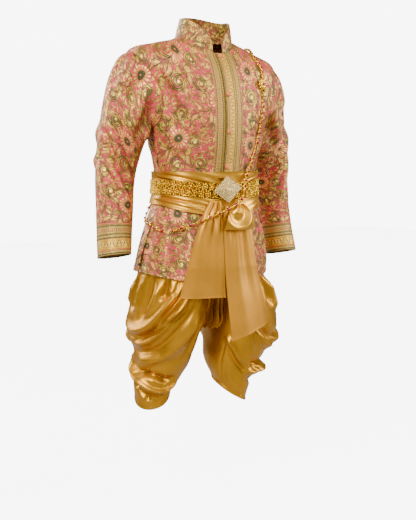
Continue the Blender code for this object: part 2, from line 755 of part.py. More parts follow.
def buckle():
    """Stepped diamond plate standing on its point, facing forward."""
    centre = off_body(0.0, BELT_MID_FRONT + 0.004, BELT_BACK + BELT_WALL + BUCKLE_STANDOFF)
    tilt = math.radians(5.0)
    verts = []
    faces = []

    def ring(scale, forward):
        first = len(verts)
        for across, up in ((0, 1), (-1, 0), (0, -1), (1, 0)):
            x = across * BUCKLE_HALF_WIDTH * scale
            z = up * BUCKLE_HALF_HEIGHT * scale
            verts.append((BUCKLE_MID_X + x * math.cos(tilt) - z * math.sin(tilt),
                          centre[1] - forward,
                          centre[2] + x * math.sin(tilt) + z * math.cos(tilt)))
        return [first + k for k in range(4)]

    rings = [ring(1.0, 0.0)]
    depth = 0.0035
    for step in range(BUCKLE_STEPS):
        scale = 1.0 - 0.22 * step
        rings.append(ring(scale, depth))
        if step < BUCKLE_STEPS - 1:
            rings.append(ring(1.0 - 0.22 * (step + 1) - 0.02, depth))
            depth += BUCKLE_STEP_RISE
    faces.append(list(reversed(rings[0])))
    for low, high in zip(rings[:-1], rings[1:]):
        for k in range(4):
            m = (k + 1) % 4
            faces.append([low[k], low[m], high[m], high[k]])
    faces.append(rings[-1])
    return add_mesh("belt_buckle", verts, faces, "pave")


buckle()


# ---- chain, brooch, buttons -----------------------------------------------------------------
def tube(name, path, radius, slot, sides=6):
    path = np.array(path)
    verts = []
    faces = []
    frame_up = None
    for k, point in enumerate(path):
        ahead = unit(path[min(k + 1, len(path) - 1)] - path[max(k - 1, 0)])
        if frame_up is None:
            frame_up = unit(np.cross(ahead, np.array([0.3, 0.2, 0.93])))
        frame_up = unit(frame_up - ahead * np.dot(frame_up, ahead))
        other = np.cross(ahead, frame_up)
        for s in range(sides):
            angle = 2.0 * math.pi * s / sides
            verts.append(point + radius * (math.cos(angle) * frame_up + math.sin(angle) * other))
    for k in range(len(path) - 1):
        for s in range(sides):
            m = (s + 1) % sides
            faces.append([k * sides + s, k * sides + m, (k + 1) * sides + m, (k + 1) * sides + s])
    faces.append(list(reversed(range(sides))))
    faces.append([(len(path) - 1) * sides + s for s in range(sides)])
    return add_mesh(name, verts, faces, slot)


def chain_path(rows, steps):
    keyed = [(float(k),) + tuple(r) for k, r in enumerate(rows)]
    path = []
    for k in range((len(rows) - 1) * steps + 1):
        turn, row, off = table(keyed, k / steps)
        path.append(off_body(turn, row, off))
    return path


tube("chain_shoulder", chain_path(CHAIN_SHOULDER_ROWS, 3), CHAIN_RADIUS, "gold")
tube("chain_hip", chain_path(CHAIN_HIP_ROWS, 3), CHAIN_RADIUS, "gold")
tube("chain_back", chain_path(CHAIN_BACK_ROWS, 3), CHAIN_RADIUS, "gold")


def dome(name, centre, normal, radius, height, slot, rings=3, sides=14, petals=0):
    """Round cap with a flat back; petals give it a scalloped edge."""
    normal = unit(normal)
    across = unit(np.cross(np.array([0.0, 0.0, 1.0]), normal))
    up = np.cross(normal, across)
    verts = []
    faces = []
    for ring in range(rings + 1):
        lean = 0.5 * math.pi * ring / (rings + 0.6)
        for s in range(sides):
            angle = 2.0 * math.pi * s / sides
            scallop = 1.0 + (0.10 * math.cos(petals * angle) if petals else 0.0)
            size = radius * scallop * math.cos(lean)
            place = centre + size * (math.cos(angle) * across + math.sin(angle) * up)
            verts.append(place + normal * height * math.sin(lean))
    for ring in range(rings):
        for s in range(sides):
            m = (s + 1) % sides
            a = ring * sides
            b = (ring + 1) * sides
            faces.append([a + s, a + m, b + m, b + s])
    faces.append(list(reversed(range(sides))))
    faces.append([rings * sides + s for s in range(sides)])
    return add_mesh(name, verts, faces, slot)


for number, row in enumerate(BUTTON_ROWS, start=1):
    turn = turn_at_x(BUTTON_X, row)
    spot = off_body(turn, row, FRONT_LIFT + 0.0006)
    dome("button_%d" % number, spot, body_normal(turn, row), BUTTON_RADIUS, 0.0042, "covered_button")

dome("brooch", off_body(BROOCH_TURN, BROOCH_ROW, 0.0072), body_normal(BROOCH_TURN, BROOCH_ROW),
     BROOCH_RADIUS, 0.0065, "gold", rings=3, sides=32, petals=8)
dome("brooch_stone", off_body(BROOCH_TURN, BROOCH_ROW, 0.0143), body_normal(BROOCH_TURN, BROOCH_ROW),
     STONE_RADIUS, 0.0030, "ruby", rings=3, sides=12)
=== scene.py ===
"""Thai court costume (chut thai) in its worn form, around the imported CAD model.

Units are metres, and millimetres inside the tables; +Z is up, the wearer faces -Y and +X is the
wearer's left.  Heights are above the floor the wearer stands on; MOUNT is the height of the neck
seam, the origin.
"""
import math

import bpy
import numpy as np
from mathutils import Matrix


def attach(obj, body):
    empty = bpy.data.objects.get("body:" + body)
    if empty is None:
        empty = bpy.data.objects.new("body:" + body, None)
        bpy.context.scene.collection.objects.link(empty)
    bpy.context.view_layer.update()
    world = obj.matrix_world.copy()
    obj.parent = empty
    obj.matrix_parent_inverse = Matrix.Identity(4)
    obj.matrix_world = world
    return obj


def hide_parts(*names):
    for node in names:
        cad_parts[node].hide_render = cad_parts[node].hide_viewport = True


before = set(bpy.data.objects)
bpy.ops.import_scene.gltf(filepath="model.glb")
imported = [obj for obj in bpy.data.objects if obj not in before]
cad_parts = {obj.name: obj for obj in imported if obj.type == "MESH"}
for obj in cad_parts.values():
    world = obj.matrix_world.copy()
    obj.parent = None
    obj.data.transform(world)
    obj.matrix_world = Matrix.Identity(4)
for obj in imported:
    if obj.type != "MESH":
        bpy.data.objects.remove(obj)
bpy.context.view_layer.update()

MOUNT = 1.380
WALL = 0.0015
PI = math.pi


def metres(rows, *plain):
    """Rows written in millimetres, but for the columns numbered in plain."""
    return [tuple(v if k in plain else v / 1000.0 for k, v in enumerate(row)) for row in rows]


# ---- the forms of the CAD solids ---------------------------------------------------------------
# (row, half_width, side_y, side_z, front_y, front_z, back_y, back_z, roundness)
BODY_ROWS = metres([
    (700, 215, 18, 702, -147, 669, 183, 702, 2), (760, 203, 14, 764, -143, 746, 170, 764, 2),
    (840, 181, 4, 842, -136, 836, 146, 842, 2.1), (900, 161, 0, 902, -130, 899, 126, 902, 2.2),
    (945, 155, -3, 946, -126, 945, 117, 946, 2.2), (995, 157, -4, 996, -129, 996, 117, 996, 2.2),
    (1060, 171, -3, 1062, -138, 1062, 124, 1063, 2.2), (1130, 187, 0, 1132, -142, 1130, 132, 1135, 2.3),
    (1220, 214, 12, 1225, -137, 1200, 130, 1222, 2.3), (1310, 240, 22, 1323, -122, 1262, 116, 1305, 2.3),
    (1385, 162, 16, 1355, -106, 1297, 104, 1352, 2.2), (1460, 83, 4, 1378, -86, 1327, 95, 1396, 2),
], 8)
HEM_ROW = 0.700
NECK_ROW = 1.460
ARMHOLE_MID = 1.2125
ARMHOLE_HALF = 0.0975
ARMHOLE_TURN = 30.0
SHOULDER_TILT = 0.007
OVERLAP_EDGE = -0.016
UNDERLAP_EDGE = 0.020
FRONT_LIFT = 0.0032
FRONT_BORDER = 0.058        # the woven band down the left front, the right one's being a little wider
RIGHT_BORDER = 0.070
CUFF_BORDER = 0.094
# (outer_x, outer_z, inner_x, inner_z, mid_y, half_depth, back_drop)
SLEEVE_ROWS = metres([
    (268, 1306, 188, 1097, 22, 71, 0), (291, 1255, 191, 1072, 29, 74, 0), (306, 1185, 198, 1047, 38, 72, 0),
    (317, 1110, 206, 1018, 44, 68, 0), (325, 1040, 214, 985, 48, 64, 0), (329, 970, 221, 942, 47, 61.5, 0),
    (333, 895, 229, 882, 37, 59, 0.1), (338, 822, 239, 817, 25, 56, 0.18),
    (344, 753, 250, 753, 10, 54, 0.22),
], 6)
LEFT_SLEEVE_DROP = 0.017
COLLAR_RIGHT_END = -16.0
COLLAR_LEFT_END = 6.0
COLLAR_CORNER = 0.034
COLLAR_TOP = (0.074, -0.001, 1.431, -0.0785, 1.384, 0.0685, 1.449)
# (height, out_x, mid_y, outward, inward, front, back, roundness)
HIP_ROWS = [
    (760, 90, 12, 96, 86, 123, 138, 2.1), (840, 86, 4, 82, 83, 116, 122, 2.1),
    (930, 78, 0, 64, 76, 106, 98, 2.1),
]
LEG_RIGHT_ROWS = metres([
    (300, 128, 90, 56, 46, 57, 60, 2), (335, 125, 87, 61, 50, 63, 68, 2), (370, 121, 80, 70, 60, 76, 77, 2),
    (415, 115, 66, 86, 77, 98, 92, 2), (453, 111, 56, 84, 79, 111, 103, 2),
    (480, 108, 50, 98, 80, 119, 120, 2), (513, 106, 43, 112, 83, 128, 138, 2),
    (560, 100, 32, 114, 85, 136, 144, 2.1), (620, 95, 22, 112, 86, 137, 146, 2.1),
    (690, 90, 18, 110, 86, 132, 148, 2.1), *HIP_ROWS,
], 7)
LEG_LEFT_ROWS = metres([
    (300, 98, 9, 47, 50, 58, 58, 2), (335, 98, 9, 50, 57, 64, 66, 2), (362, 99, 8, 56, 66, 74, 76, 2),
    (380, 100, 8, 68, 73, 80, 83, 2), (394, 101, 8, 92, 77, 86, 87, 2), (424, 103, 6, 92, 83, 98, 97, 2),
    (476, 107, 3, 124, 84, 120, 115, 2), (532, 107, 5, 136, 85, 130, 132, 2),
    (591, 103, 12, 134, 86, 135, 142, 2.1), (642, 98, 15, 124, 86, 134, 145, 2.1),
    (690, 92, 17, 106, 86, 131, 146, 2.1), *HIP_ROWS,
], 7)
LEG_BOTTOM = 0.311
LEG_TOP = 0.930
HEM_TILT = 0.034
LEFT_HEM_LIFT = 0.008
HEM_LOW_TURN = 50.0
TUCK_GAP = 0.0070
CROTCH = 0.530
GUSSET_HALF = 0.030
# hanging folds: (lowest_turn, lowest_height, rise, half_spread, spread_power, depth, above, below)
SWAGS_RIGHT = metres([
    (95, 503, 112, 80, 1.6, 12, 60, 12), (15, 352, 36, 95, 1.6, 9, 28, 10),
    (110, 404, 30, 60, 2, 8, 26, 10),
], 0, 3, 4)
SWAGS_LEFT = metres([
    (58, 470, 130, 85, 1.6, 12, 60, 12), (60, 384, 50, 50, 1.8, 10, 22, 10),
], 0, 3, 4)
SASH_OUTER = 0.0070
SASH_WALL = 0.0016
BELT_BACK = 0.0090
BELT_WALL = 0.0026
BELT_HALF_HEIGHT = 0.0225
BELT_MID_SIDE = 0.9475
BELT_MID_FRONT = 0.9370
BUCKLE_HALF_WIDTH = 0.049
BUCKLE_HALF_HEIGHT = 0.0385
BUCKLE_MID_X = -0.012
BUCKLE_STANDOFF = 0.0052
# tails and loop: (height, left_x, right_x, off_jacket)
TAIL_RIGHT_ROWS = metres([
    (909, -64, -32, 12.8), (880, -82, -31.5, 13.6), (830, -101, -31.5, 13.2), (760, -121, -30.5, 12),
    (690, -138, -29, 11.6), (634, -150, -28, 14),
])
TAIL_LEFT_ROWS = metres([
    (895, -20, 50, 12.6), (860, -29, 68, 12.8), (800, -29, 79, 12.4), (704, -28, 90, 14.4),
    (600, -25, 112, 27), (510, -21, 131, 38),
])
TAIL_LEFT_SLOPE = 0.036
LOOP_ROWS = metres([
    (899, 8, 40, 17.5), (885, -10, 53, 25), (862, -25, 65, 31), (842, -32, 70, 32.5),
    (831, -33, 70, 30), (828, -33, 69, 25.5), (833, -32, 68, 21), (850, -29, 64, 18.2),
    (875, -17, 52, 17.2),
])
# chain: (turn, row, off_jacket)
CHAIN_SHOULDER_ROWS = metres([
    (89, 1396, 4.2), (71, 1397, 4.2), (55, 1387, 4.2), (42, 1356, 4.2), (33, 1322, 4.2),
    (28.5, 1278, 4.2), (32.5, 1236, 4.2), (35.5, 1190, 4), (36, 1110, 4), (34.5, 1060, 4),
    (30, 1022, 5.6), (22, 996, 12.2), (17.5, 972, 16.2), (15.8, 948, 17.2), (14.6, 928, 18),
], 0)
CHAIN_HIP_ROWS = metres([
    (13, 921, 19), (6.5, 906, 24), (-1.5, 890, 28.5), (-11.5, 876, 25), (-19, 866, 20.5),
    (-27, 856, 19.5), (-36, 845, 18.5), (-45, 836, 11), (-54, 826, 4.6), (-62, 822, 4), (-72, 824, 4),
    (-84, 833, 4),
], 0)
CHAIN_BACK_ROWS = metres([
    (-86, 835, 4), (-104, 845, 4), (-120, 860, 4.2), (-132, 879, 10), (-142, 906, 15.8),
    (-152, 942, 17.2), (-163, 980, 15), (-173, 1008, 8), (-184, 1045, 4), (-199, 1110, 4),
    (-213, 1185, 4), (-228, 1265, 4.2), (-248, 1335, 4.2), (-268, 1390, 4.2),
], 0)
BUTTON_ROWS = (1.437, 1.233, 1.104, 1.006)
BUTTON_X = -0.0075
BUTTON_RADIUS = 0.0065
BROOCH_TURN = 28.0
BROOCH_ROW = 1.272
BROOCH_RADIUS = 0.017

# ---- camera: the photograph's three-quarter view -----------------------------------------------
CAMERA_AZIMUTH = math.radians(-33.0)
CAMERA_PITCH = math.radians(6.0)
CAMERA_AWAY = 2.7
CAMERA_HEIGHT = 1.01
CAMERA_SHIFT = 0.012
CAMERA_FOCAL = 900.0 / 520.0        # focal length in picture heights


def stand(name, data, right, up, back, spot):
    """Links a camera or a light, with the directions of its own axes."""
    item = bpy.data.objects.new(name, data)
    bpy.context.scene.collection.objects.link(item)
    matrix = np.identity(4)
    matrix[:3] = np.stack([right, up, back, spot], axis=1)
    item.matrix_world = Matrix(matrix.tolist())
    return item


def add_camera():
    right = np.array([math.cos(CAMERA_AZIMUTH), math.sin(CAMERA_AZIMUTH), 0.0])
    ahead = np.array([-math.sin(CAMERA_AZIMUTH), math.cos(CAMERA_AZIMUTH), 0.0])
    spot = np.array([0.0, 0.0, CAMERA_HEIGHT - MOUNT]) - CAMERA_AWAY * ahead + CAMERA_SHIFT * right
    view = ahead * math.cos(CAMERA_PITCH) - np.array([0.0, 0.0, math.sin(CAMERA_PITCH)])
    data = bpy.data.cameras.new("camera")
    data.sensor_fit = "VERTICAL"
    data.sensor_height = 24.0
    data.lens = 24.0 * CAMERA_FOCAL
    bpy.context.scene.camera = stand("camera", data, right, np.cross(right, view), -view, spot)


add_camera()


# ---- curves and forms, on whole arrays ----------------------------------------------------------
def table(rows, at):
    """Smooth curve through a table whose first column is the key; one result per value of at."""
    keys = np.array([r[0] for r in rows], float)
    data = np.array([r[1:] for r in rows], float)
    step = np.diff(keys)[:, None]
    rate = np.diff(data, axis=0) / step
    slopes = np.zeros_like(data)
    slopes[1:-1] = (rate[:-1] * step[1:] + rate[1:] * step[:-1]) / (step[1:] + step[:-1])
    slopes[0] = rate[0]
    slopes[-1] = rate[-1]
    at = np.clip(np.asarray(at, float), keys[0], keys[-1])
    k = np.clip(np.searchsorted(keys, at) - 1, 0, len(keys) - 2)
    h = (keys[k + 1] - keys[k])[..., None]
    t = ((at - keys[k]) / (keys[k + 1] - keys[k]))[..., None]
    first = (2 * t ** 3 - 3 * t ** 2 + 1) * data[k] + (t ** 3 - 2 * t ** 2 + t) * h * slopes[k]
    return first + (3 * t ** 2 - 2 * t ** 3) * data[k + 1] + (t ** 3 - t ** 2) * h * slopes[k + 1]


def columns(rows, at):
    return np.moveaxis(table(rows, at), -1, 0)


def evenly_through(rows, count):
    """count points of the smooth line through the rows, each row one step on from the last."""
    keyed = [(float(k), *row) for k, row in enumerate(rows)]
    return table(keyed, np.linspace(0.0, len(rows) - 1.0, count))


def bell(x, width):
    return np.exp(-(x / width) ** 2)


def smooth(low, high, x):
    t = np.clip((np.asarray(x, float) - low) / (high - low), 0.0, 1.0)
    return t * t * (3.0 - 2.0 * t)


def power(value, exponent):
    return np.sign(value) * np.abs(value) ** exponent


def unit(v):
    return v / np.maximum(np.linalg.norm(v, axis=-1, keepdims=True), 1e-12)


def body(turn, row):
    """The jacket's outer form: turn 0 is centre front, +90 the wearer's left side."""
    turn, row = np.broadcast_arrays(np.asarray(turn, float), np.asarray(row, float))
    half, side_y, side_z, front_y, front_z, back_y, back_z, n = columns(BODY_ROWS, row)
    angle = np.radians(turn)
    across = power(np.sin(angle), 2.0 / n)
    along = power(np.cos(angle), 2.0 / n)
    ahead = along >= 0.0
    y = side_y + np.where(ahead, front_y - side_y, side_y - back_y) * along
    z = side_z + np.where(ahead, front_z - side_z, back_z - side_z) * along * along
    share = smooth(1.12, 1.30, row) * (1.0 - smooth(1.34, 1.45, row))
    z = z - SHOULDER_TILT * across * share
    return np.stack([half * across, y, z], axis=-1)


def body_normal(turn, row):
    low = np.maximum(np.asarray(row, float) - 0.004, HEM_ROW)
    high = np.minimum(np.asarray(row, float) + 0.004, NECK_ROW)
    across = body(np.asarray(turn, float) + 1.5, row) - body(np.asarray(turn, float) - 1.5, row)
    return unit(np.cross(across, body(turn, high) - body(turn, low)))


def off_body(turn, row, off):
    return body(turn, row) + np.asarray(off, float)[..., None] * body_normal(turn, row)


def turn_at_x(x, row):
    got = table(BODY_ROWS, row)
    share = np.minimum(np.abs(x) / got[..., 0], 0.98)
    return np.sign(x) * np.degrees(np.arcsin(share ** (got[..., 7] / 2.0)))


def near_path(s, t, path):
    """Distance to a bent line of (s, t) points, the side it lies on, and how far along, 0 to 1."""
    path = np.array(path, float)
    runs = np.linalg.norm(np.diff(path, axis=0), axis=1)
    total = runs.sum()
    best = np.full(s.shape, 1e9)
    side = np.zeros(s.shape)
    along = np.zeros(s.shape)
    done = 0.0
    for k, run in enumerate(runs):
        a = path[k]
        d = (path[k + 1] - a) / run
        ps = s - a[0]
        pt = t - a[1]
        f = np.clip(ps * d[0] + pt * d[1], 0.0, run)
        away = np.hypot(ps - f * d[0], pt - f * d[1])
        closer = away < best
        best = np.where(closer, away, best)
        side = np.where(closer, np.sign(d[0] * pt - d[1] * ps), side)
        along = np.where(closer, (done + f) / total, along)
        done += run
    return best, side, along


def fold(s, t, path, height, left, right):
    """A crease along a path: a ridge, or a trough where height is negative.

    left and right are its widths on the two sides; a narrow one makes the sharp side of a lap."""
    away, side, along = near_path(s, t, evenly_through(path, 14))
    taper = smooth(0.0, 0.22, along) * smooth(0.0, 0.22, 1.0 - along)
    return height * taper * bell(away, np.where(side > 0.0, left, right))


def folds(s, t, rows, spot):
    """rows: height, width on one side, width on the other, and the points of the path; spot turns
    a point into the lengths s and t."""
    total = np.zeros(np.broadcast(s, t).shape)
    for height, left, right, *path in rows:
        total = total + fold(s, t, [spot(*point) for point in path],
                             height / 1000.0, left / 1000.0, right / 1000.0)
    return total


# ---- meshes -------------------------------------------------------------------------------------
def grid_normals(grid, wrap):
    if wrap:
        across = np.roll(grid, -1, axis=1) - np.roll(grid, 1, axis=1)
    else:
        across = np.gradient(grid, axis=1)
    return unit(np.cross(across, np.gradient(grid, axis=0)))


def run_across(grid, start, wrap=False):
    """Length along each row of the grid, from the column start."""
    closed = np.concatenate([grid, grid[:, :1]], axis=1) if wrap else grid
    steps = np.linalg.norm(np.diff(closed, axis=1), axis=-1)
    total = np.concatenate([np.zeros((len(grid), 1)), np.cumsum(steps, axis=1)], axis=1)
    return total - total[:, start:start + 1]


def run_up(grid, column, count):
    steps = np.linalg.norm(np.diff(grid[:, column], axis=0), axis=-1)
    total = np.concatenate([[0.0], np.cumsum(steps)])
    return np.repeat(total[:, None], count, axis=1)


def shell(name, grid, finish, thick=WALL, wrap=False, keep=None, uv=None, band=None, relief=None):
    """A closed thin sheet on a grid of points of its outer face.

    uv is the cloth's own length and width in metres, band the distance to its woven borders."""
    grid = np.array(grid, float)
    if relief is not None:
        grid = grid + relief[..., None] * grid_normals(grid, wrap)
    rows, cols, _ = grid.shape
    inner = grid - thick * grid_normals(grid, wrap)
    total = rows * cols
    last = cols if wrap else cols - 1
    r, c = np.meshgrid(np.arange(rows - 1), np.arange(last), indexing="ij")
    used = np.ones(r.shape, bool) if keep is None else keep(r, c)
    r = r[used]
    c = c[used]
    d = (c + 1) % cols
    quads = np.stack([r * cols + c, r * cols + d, (r + 1) * cols + d, (r + 1) * cols + c], axis=1)
    spots = np.stack([np.stack([r, c], 1), np.stack([r, c + 1], 1),
                      np.stack([r + 1, c + 1], 1), np.stack([r + 1, c], 1)], axis=1)
    edges = {}
    for q, p in zip(quads.tolist(), spots.tolist()):
        for k in range(4):
            edges[(q[k], q[(k + 1) % 4])] = (p[k], p[(k + 1) % 4])
    rim = []
    rim_spots = []
    for (a, b), (pa, pb) in edges.items():
        if (b, a) not in edges:
            rim.append((b, a, a + total, b + total))
            rim_spots.append((pb, pa, pa, pb))
    faces = np.vstack([quads, quads[:, ::-1] + total, np.array(rim)])
    where = np.concatenate([spots, spots[:, ::-1], np.array(rim_spots)])
    points = np.vstack([grid.reshape(-1, 3), inner.reshape(-1, 3)])
    points[:, 2] -= MOUNT
    index = np.full(len(points), -1)
    live = np.unique(faces)
    index[live] = np.arange(len(live))
    item = mesh_object(name, points[live], index[faces], finish)
    for layer, values in (("cloth", uv), ("band", band)):
        if values is None:
            continue
        if values.shape[1] == cols and wrap:
            values = np.concatenate([values, values[:, :1]], axis=1)
        data = values[where[..., 0], where[..., 1]].reshape(-1, 2)
        made = item.data.uv_layers.new(name=layer)
        made.data.foreach_set("uv", data.astype(np.float32).ravel())
    return item


def mesh_object(name, points, faces, finish, sharp=40.0):
    mesh = bpy.data.meshes.new(name)
    mesh.from_pydata(np.asarray(points, float).tolist(), [], [list(map(int, f)) for f in faces])
    mesh.validate()
    mesh.polygons.foreach_set("use_smooth", [True] * len(mesh.polygons))
    mesh.set_sharp_from_angle(angle=math.radians(sharp))
    mesh.update()
    item = bpy.data.objects.new(name, mesh)
    bpy.context.scene.collection.objects.link(item)
    mesh.materials.append(finish)
    return item


def place(item, slot, *nodes):
    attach(item, "root")
    if nodes:
        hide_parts(*nodes)


def cloth(node, slot, grid, finish, **cut):
    """The shell of one piece of cloth, in place of its CAD node."""
    place(shell(node + "_cloth", grid, finish, **cut), slot, node)


def square_to(normal, pole=(0.0, 0.0, 1.0)):
    """Two directions across a normal, the second one upward."""
    across = unit(np.cross(np.array(pole), normal))
    return across, np.cross(normal, across)


def tube_quads(rings, sides):
    """Faces between each ring of points and the next."""
    return [[k * sides + s, k * sides + (s + 1) % sides, (k + 1) * sides + (s + 1) % sides,
             (k + 1) * sides + s] for k in range(rings) for s in range(sides)]


SKEW = (0.02, 0.01, 1.0)    # a pole that no small solid's normal lies along
DOME_SUNK = 0.0008


class Parts:
    """Gathers many small solids into one mesh."""

    def __init__(self):
        self.points = []
        self.faces = []

    def add(self, points, faces):
        start = len(self.points)
        self.points.extend(np.asarray(points, float).tolist())
        self.faces.extend([[i + start for i in f] for f in faces])

    def dome(self, centre, normal, radius, height, sides=8, rings=2, petals=0, depth=0.12):
        """A round cap sunk a little; petals give it a scalloped edge."""
        normal = unit(np.asarray(normal, float))
        across, up = square_to(normal, SKEW)
        turn = 2.0 * np.pi * np.arange(sides) / sides
        edge = 1.0 + (depth if petals else 0.0) * np.cos(petals * turn)
        ring = np.cos(turn)[:, None] * across + np.sin(turn)[:, None] * up
        points = [centre + radius * edge[:, None] * ring - DOME_SUNK * normal]
        for k in range(rings):
            lean = 0.5 * np.pi * k / rings
            points.append(centre + radius * math.cos(lean) * edge[:, None] * ring
                          + height * math.sin(lean) * normal)
        points = np.vstack(points + [centre[None, :] + height * normal])
        tip = len(points) - 1
        faces = tube_quads(rings, sides)
        faces += [[rings * sides + s, rings * sides + (s + 1) % sides, tip] for s in range(sides)]
        self.add(points, faces + [list(range(sides))[::-1]])

    def ring(self, centre, normal, radius, thick, sides=16, around=6):
        normal = unit(np.asarray(normal, float))
        across, up = square_to(normal, SKEW)
        points = []
        faces = []
        for s in range(sides):
            a = 2.0 * math.pi * s / sides
            out = math.cos(a) * across + math.sin(a) * up
            n = (s + 1) % sides
            for k in range(around):
                b = 2.0 * math.pi * k / around
                points.append(centre + (radius + thick * math.cos(b)) * out + thick * math.sin(b) * normal)
                m = (k + 1) % around
                faces.append([s * around + k, n * around + k, n * around + m, s * around + m])
        self.add(points, faces)

    def tube(self, path, radius, sides=6):
        ahead = unit(np.gradient(path, axis=0))
        side = unit(np.cross(ahead, np.array([0.31, 0.22, 0.92])))
        other = np.cross(ahead, side)
        a = 2.0 * np.pi * np.arange(sides) / sides
        points = path[:, None] + radius * (np.cos(a)[None, :, None] * side[:, None]
                                           + np.sin(a)[None, :, None] * other[:, None])
        last = len(path) - 1
        ends = [list(range(sides))[::-1], [last * sides + s for s in range(sides)]]
        self.add(points.reshape(-1, 3), tube_quads(last, sides) + ends)

    def make(self, name, finish, sharp=50.0):
        points = np.array(self.points)
        points[:, 2] -= MOUNT
        return mesh_object(name, points, self.faces, finish, sharp)


# ---- node materials -----------------------------------------------------------------------------
class Wire:
    """A node's output that takes part in sums."""

    def __init__(self, net, socket):
        self.net = net
        self.socket = socket

    def __add__(self, other):
        return self.net.math("ADD", self, other)

    __radd__ = __add__

    def __sub__(self, other):
        return self.net.math("SUBTRACT", self, other)

    def __rsub__(self, other):
        return self.net.math("SUBTRACT", other, self)

    def __mul__(self, other):
        return self.net.math("MULTIPLY", self, other)

    __rmul__ = __mul__

    def __truediv__(self, other):
        return self.net.math("DIVIDE", self, other)

    def __abs__(self):
        return self.net.math("ABSOLUTE", self)


class Net:
    """A node material built from short sums."""

    def __init__(self, name, base, metallic, rough):
        self.material = bpy.data.materials.new(name)
        self.material.use_nodes = True
        self.tree = self.material.node_tree
        self.shader = self.tree.nodes["Principled BSDF"]
        self.shader.inputs["Base Color"].default_value = (*base, 1.0)
        self.shader.inputs["Metallic"].default_value = metallic
        self.shader.inputs["Roughness"].default_value = rough

    def put(self, socket, value):
        if isinstance(value, Wire):
            self.tree.links.new(value.socket, socket)
        elif isinstance(value, tuple):
            socket.default_value = (*value, 1.0) if len(value) == 3 and socket.type == "RGBA" else value
        else:
            socket.default_value = value

    def math(self, operation, *values):
        node = self.tree.nodes.new("ShaderNodeMath")
        node.operation = operation
        for socket, value in zip(node.inputs, values):
            self.put(socket, value)
        return Wire(self, node.outputs[0])

    def length(self, x, y):
        return self.math("SQRT", x * x + y * y)

    def step(self, value, low, high):
        """0 below low, 1 above high, eased between; low may be the larger."""
        node = self.tree.nodes.new("ShaderNodeMapRange")
        node.interpolation_type = "SMOOTHSTEP"
        self.put(node.inputs["Value"], value)
        flip = low > high
        self.put(node.inputs["From Min"], min(low, high))
        self.put(node.inputs["From Max"], max(low, high))
        self.put(node.inputs["To Min"], 1.0 if flip else 0.0)
        self.put(node.inputs["To Max"], 0.0 if flip else 1.0)
        return Wire(self, node.outputs["Result"])

    def mix(self, share, low, high):
        node = self.tree.nodes.new("ShaderNodeMix")
        node.data_type = "RGBA"
        self.put(node.inputs["Factor"], share)
        self.put(node.inputs[6], low)
        self.put(node.inputs[7], high)
        return Wire(self, node.outputs[2])

    def paint(self, colour, shade, value, low, high, within=None):
        """shade over colour, as far as value has passed from low to high."""
        share = self.step(value, low, high)
        return self.mix(share if within is None else share * within, colour, shade)

    def uv(self, layer):
        node = self.tree.nodes.new("ShaderNodeUVMap")
        node.uv_map = layer
        split = self.tree.nodes.new("ShaderNodeSeparateXYZ")
        self.tree.links.new(node.outputs[0], split.inputs[0])
        return Wire(self, split.outputs[0]), Wire(self, split.outputs[1])

    def vector(self, x, y, z=0.0):
        node = self.tree.nodes.new("ShaderNodeCombineXYZ")
        for socket, value in zip(node.inputs, (x, y, z)):
            self.put(socket, value)
        return Wire(self, node.outputs[0])

    def place(self, scale=(1.0, 1.0, 1.0)):
        """The point's own coordinates in metres, stretched."""
        node = self.tree.nodes.new("ShaderNodeTexCoord")
        mapping = self.tree.nodes.new("ShaderNodeMapping")
        mapping.inputs["Scale"].default_value = scale
        self.tree.links.new(node.outputs["Object"], mapping.inputs["Vector"])
        return Wire(self, mapping.outputs[0])

    def seen(self):
        """1 for what is looked at directly, 0 for the light it sends elsewhere."""
        return Wire(self, self.tree.nodes.new("ShaderNodeLightPath").outputs["Is Camera Ray"])

    def noise(self, where, scale, detail=2.0, rough=0.5):
        node = self.tree.nodes.new("ShaderNodeTexNoise")
        self.put(node.inputs["Vector"], where)
        node.inputs["Scale"].default_value = scale
        node.inputs["Detail"].default_value = detail
        node.inputs["Roughness"].default_value = rough
        return Wire(self, node.outputs["Fac"])

    def cells(self, where, scale, feature="F1"):
        node = self.tree.nodes.new("ShaderNodeTexVoronoi")
        node.feature = feature
        self.put(node.inputs["Vector"], where)
        node.inputs["Scale"].default_value = scale
        return Wire(self, node.outputs["Distance"])

    def bump(self, height, strength, distance):
        node = self.tree.nodes.new("ShaderNodeBump")
        node.inputs["Strength"].default_value = strength
        node.inputs["Distance"].default_value = distance
        self.put(node.inputs["Height"], height)
        self.tree.links.new(node.outputs[0], self.shader.inputs["Normal"])

    def set(self, **values):
        for name, value in values.items():
            self.put(self.shader.inputs[name.replace("_", " ")], value)
        return self.material


COLUMN = 0.115              # half the brocade's repeat across
DROP = 0.215                # the repeat along the warp; each column is shifted by half of it
DAISY_U = 0.0575            # where the daisy stands in the repeat
DAISY_V = 0.1075
PINK = (0.72, 0.034, 0.074)
ROSE = (0.36, 0.060, 0.035)
OLIVE = (0.19, 0.095, 0.010)
GOLD = (0.70, 0.370, 0.024)
PALE = (1.00, 0.68, 0.100)
GREEN = (0.018, 0.042, 0.008)
SALMON = (0.74, 0.150, 0.040)


# what stands in each repeat, by its place (u, v) in millimetres
# (u, v, length, width, degrees, bend)
LEAVES = metres([
    (30, 48, 27, 10.5, 60.0, 0.45), (90, 40, 27, 10.5, 118.0, -0.45), (52, 82, 25, 8.5, 20.0, 0.50),
    (6, 78, 26, 10, 160.0, -0.50), (72, 112, 24, 9, 75.0, 0.40), (22, 120, 22, 8, 130.0, 0.40),
    (100, 165, 25, 9.5, 40.0, -0.40),
], 4, 5)
# (u, v, radius, pitch, way round)
CURLS = metres([(56, 30, 26, 10.5, 1.0), (8, 145, 24, 10, -1.0), (62, 172, 22, 9.2, 1.0),
                (104, 98, 21, 9, -1.0)], 4)
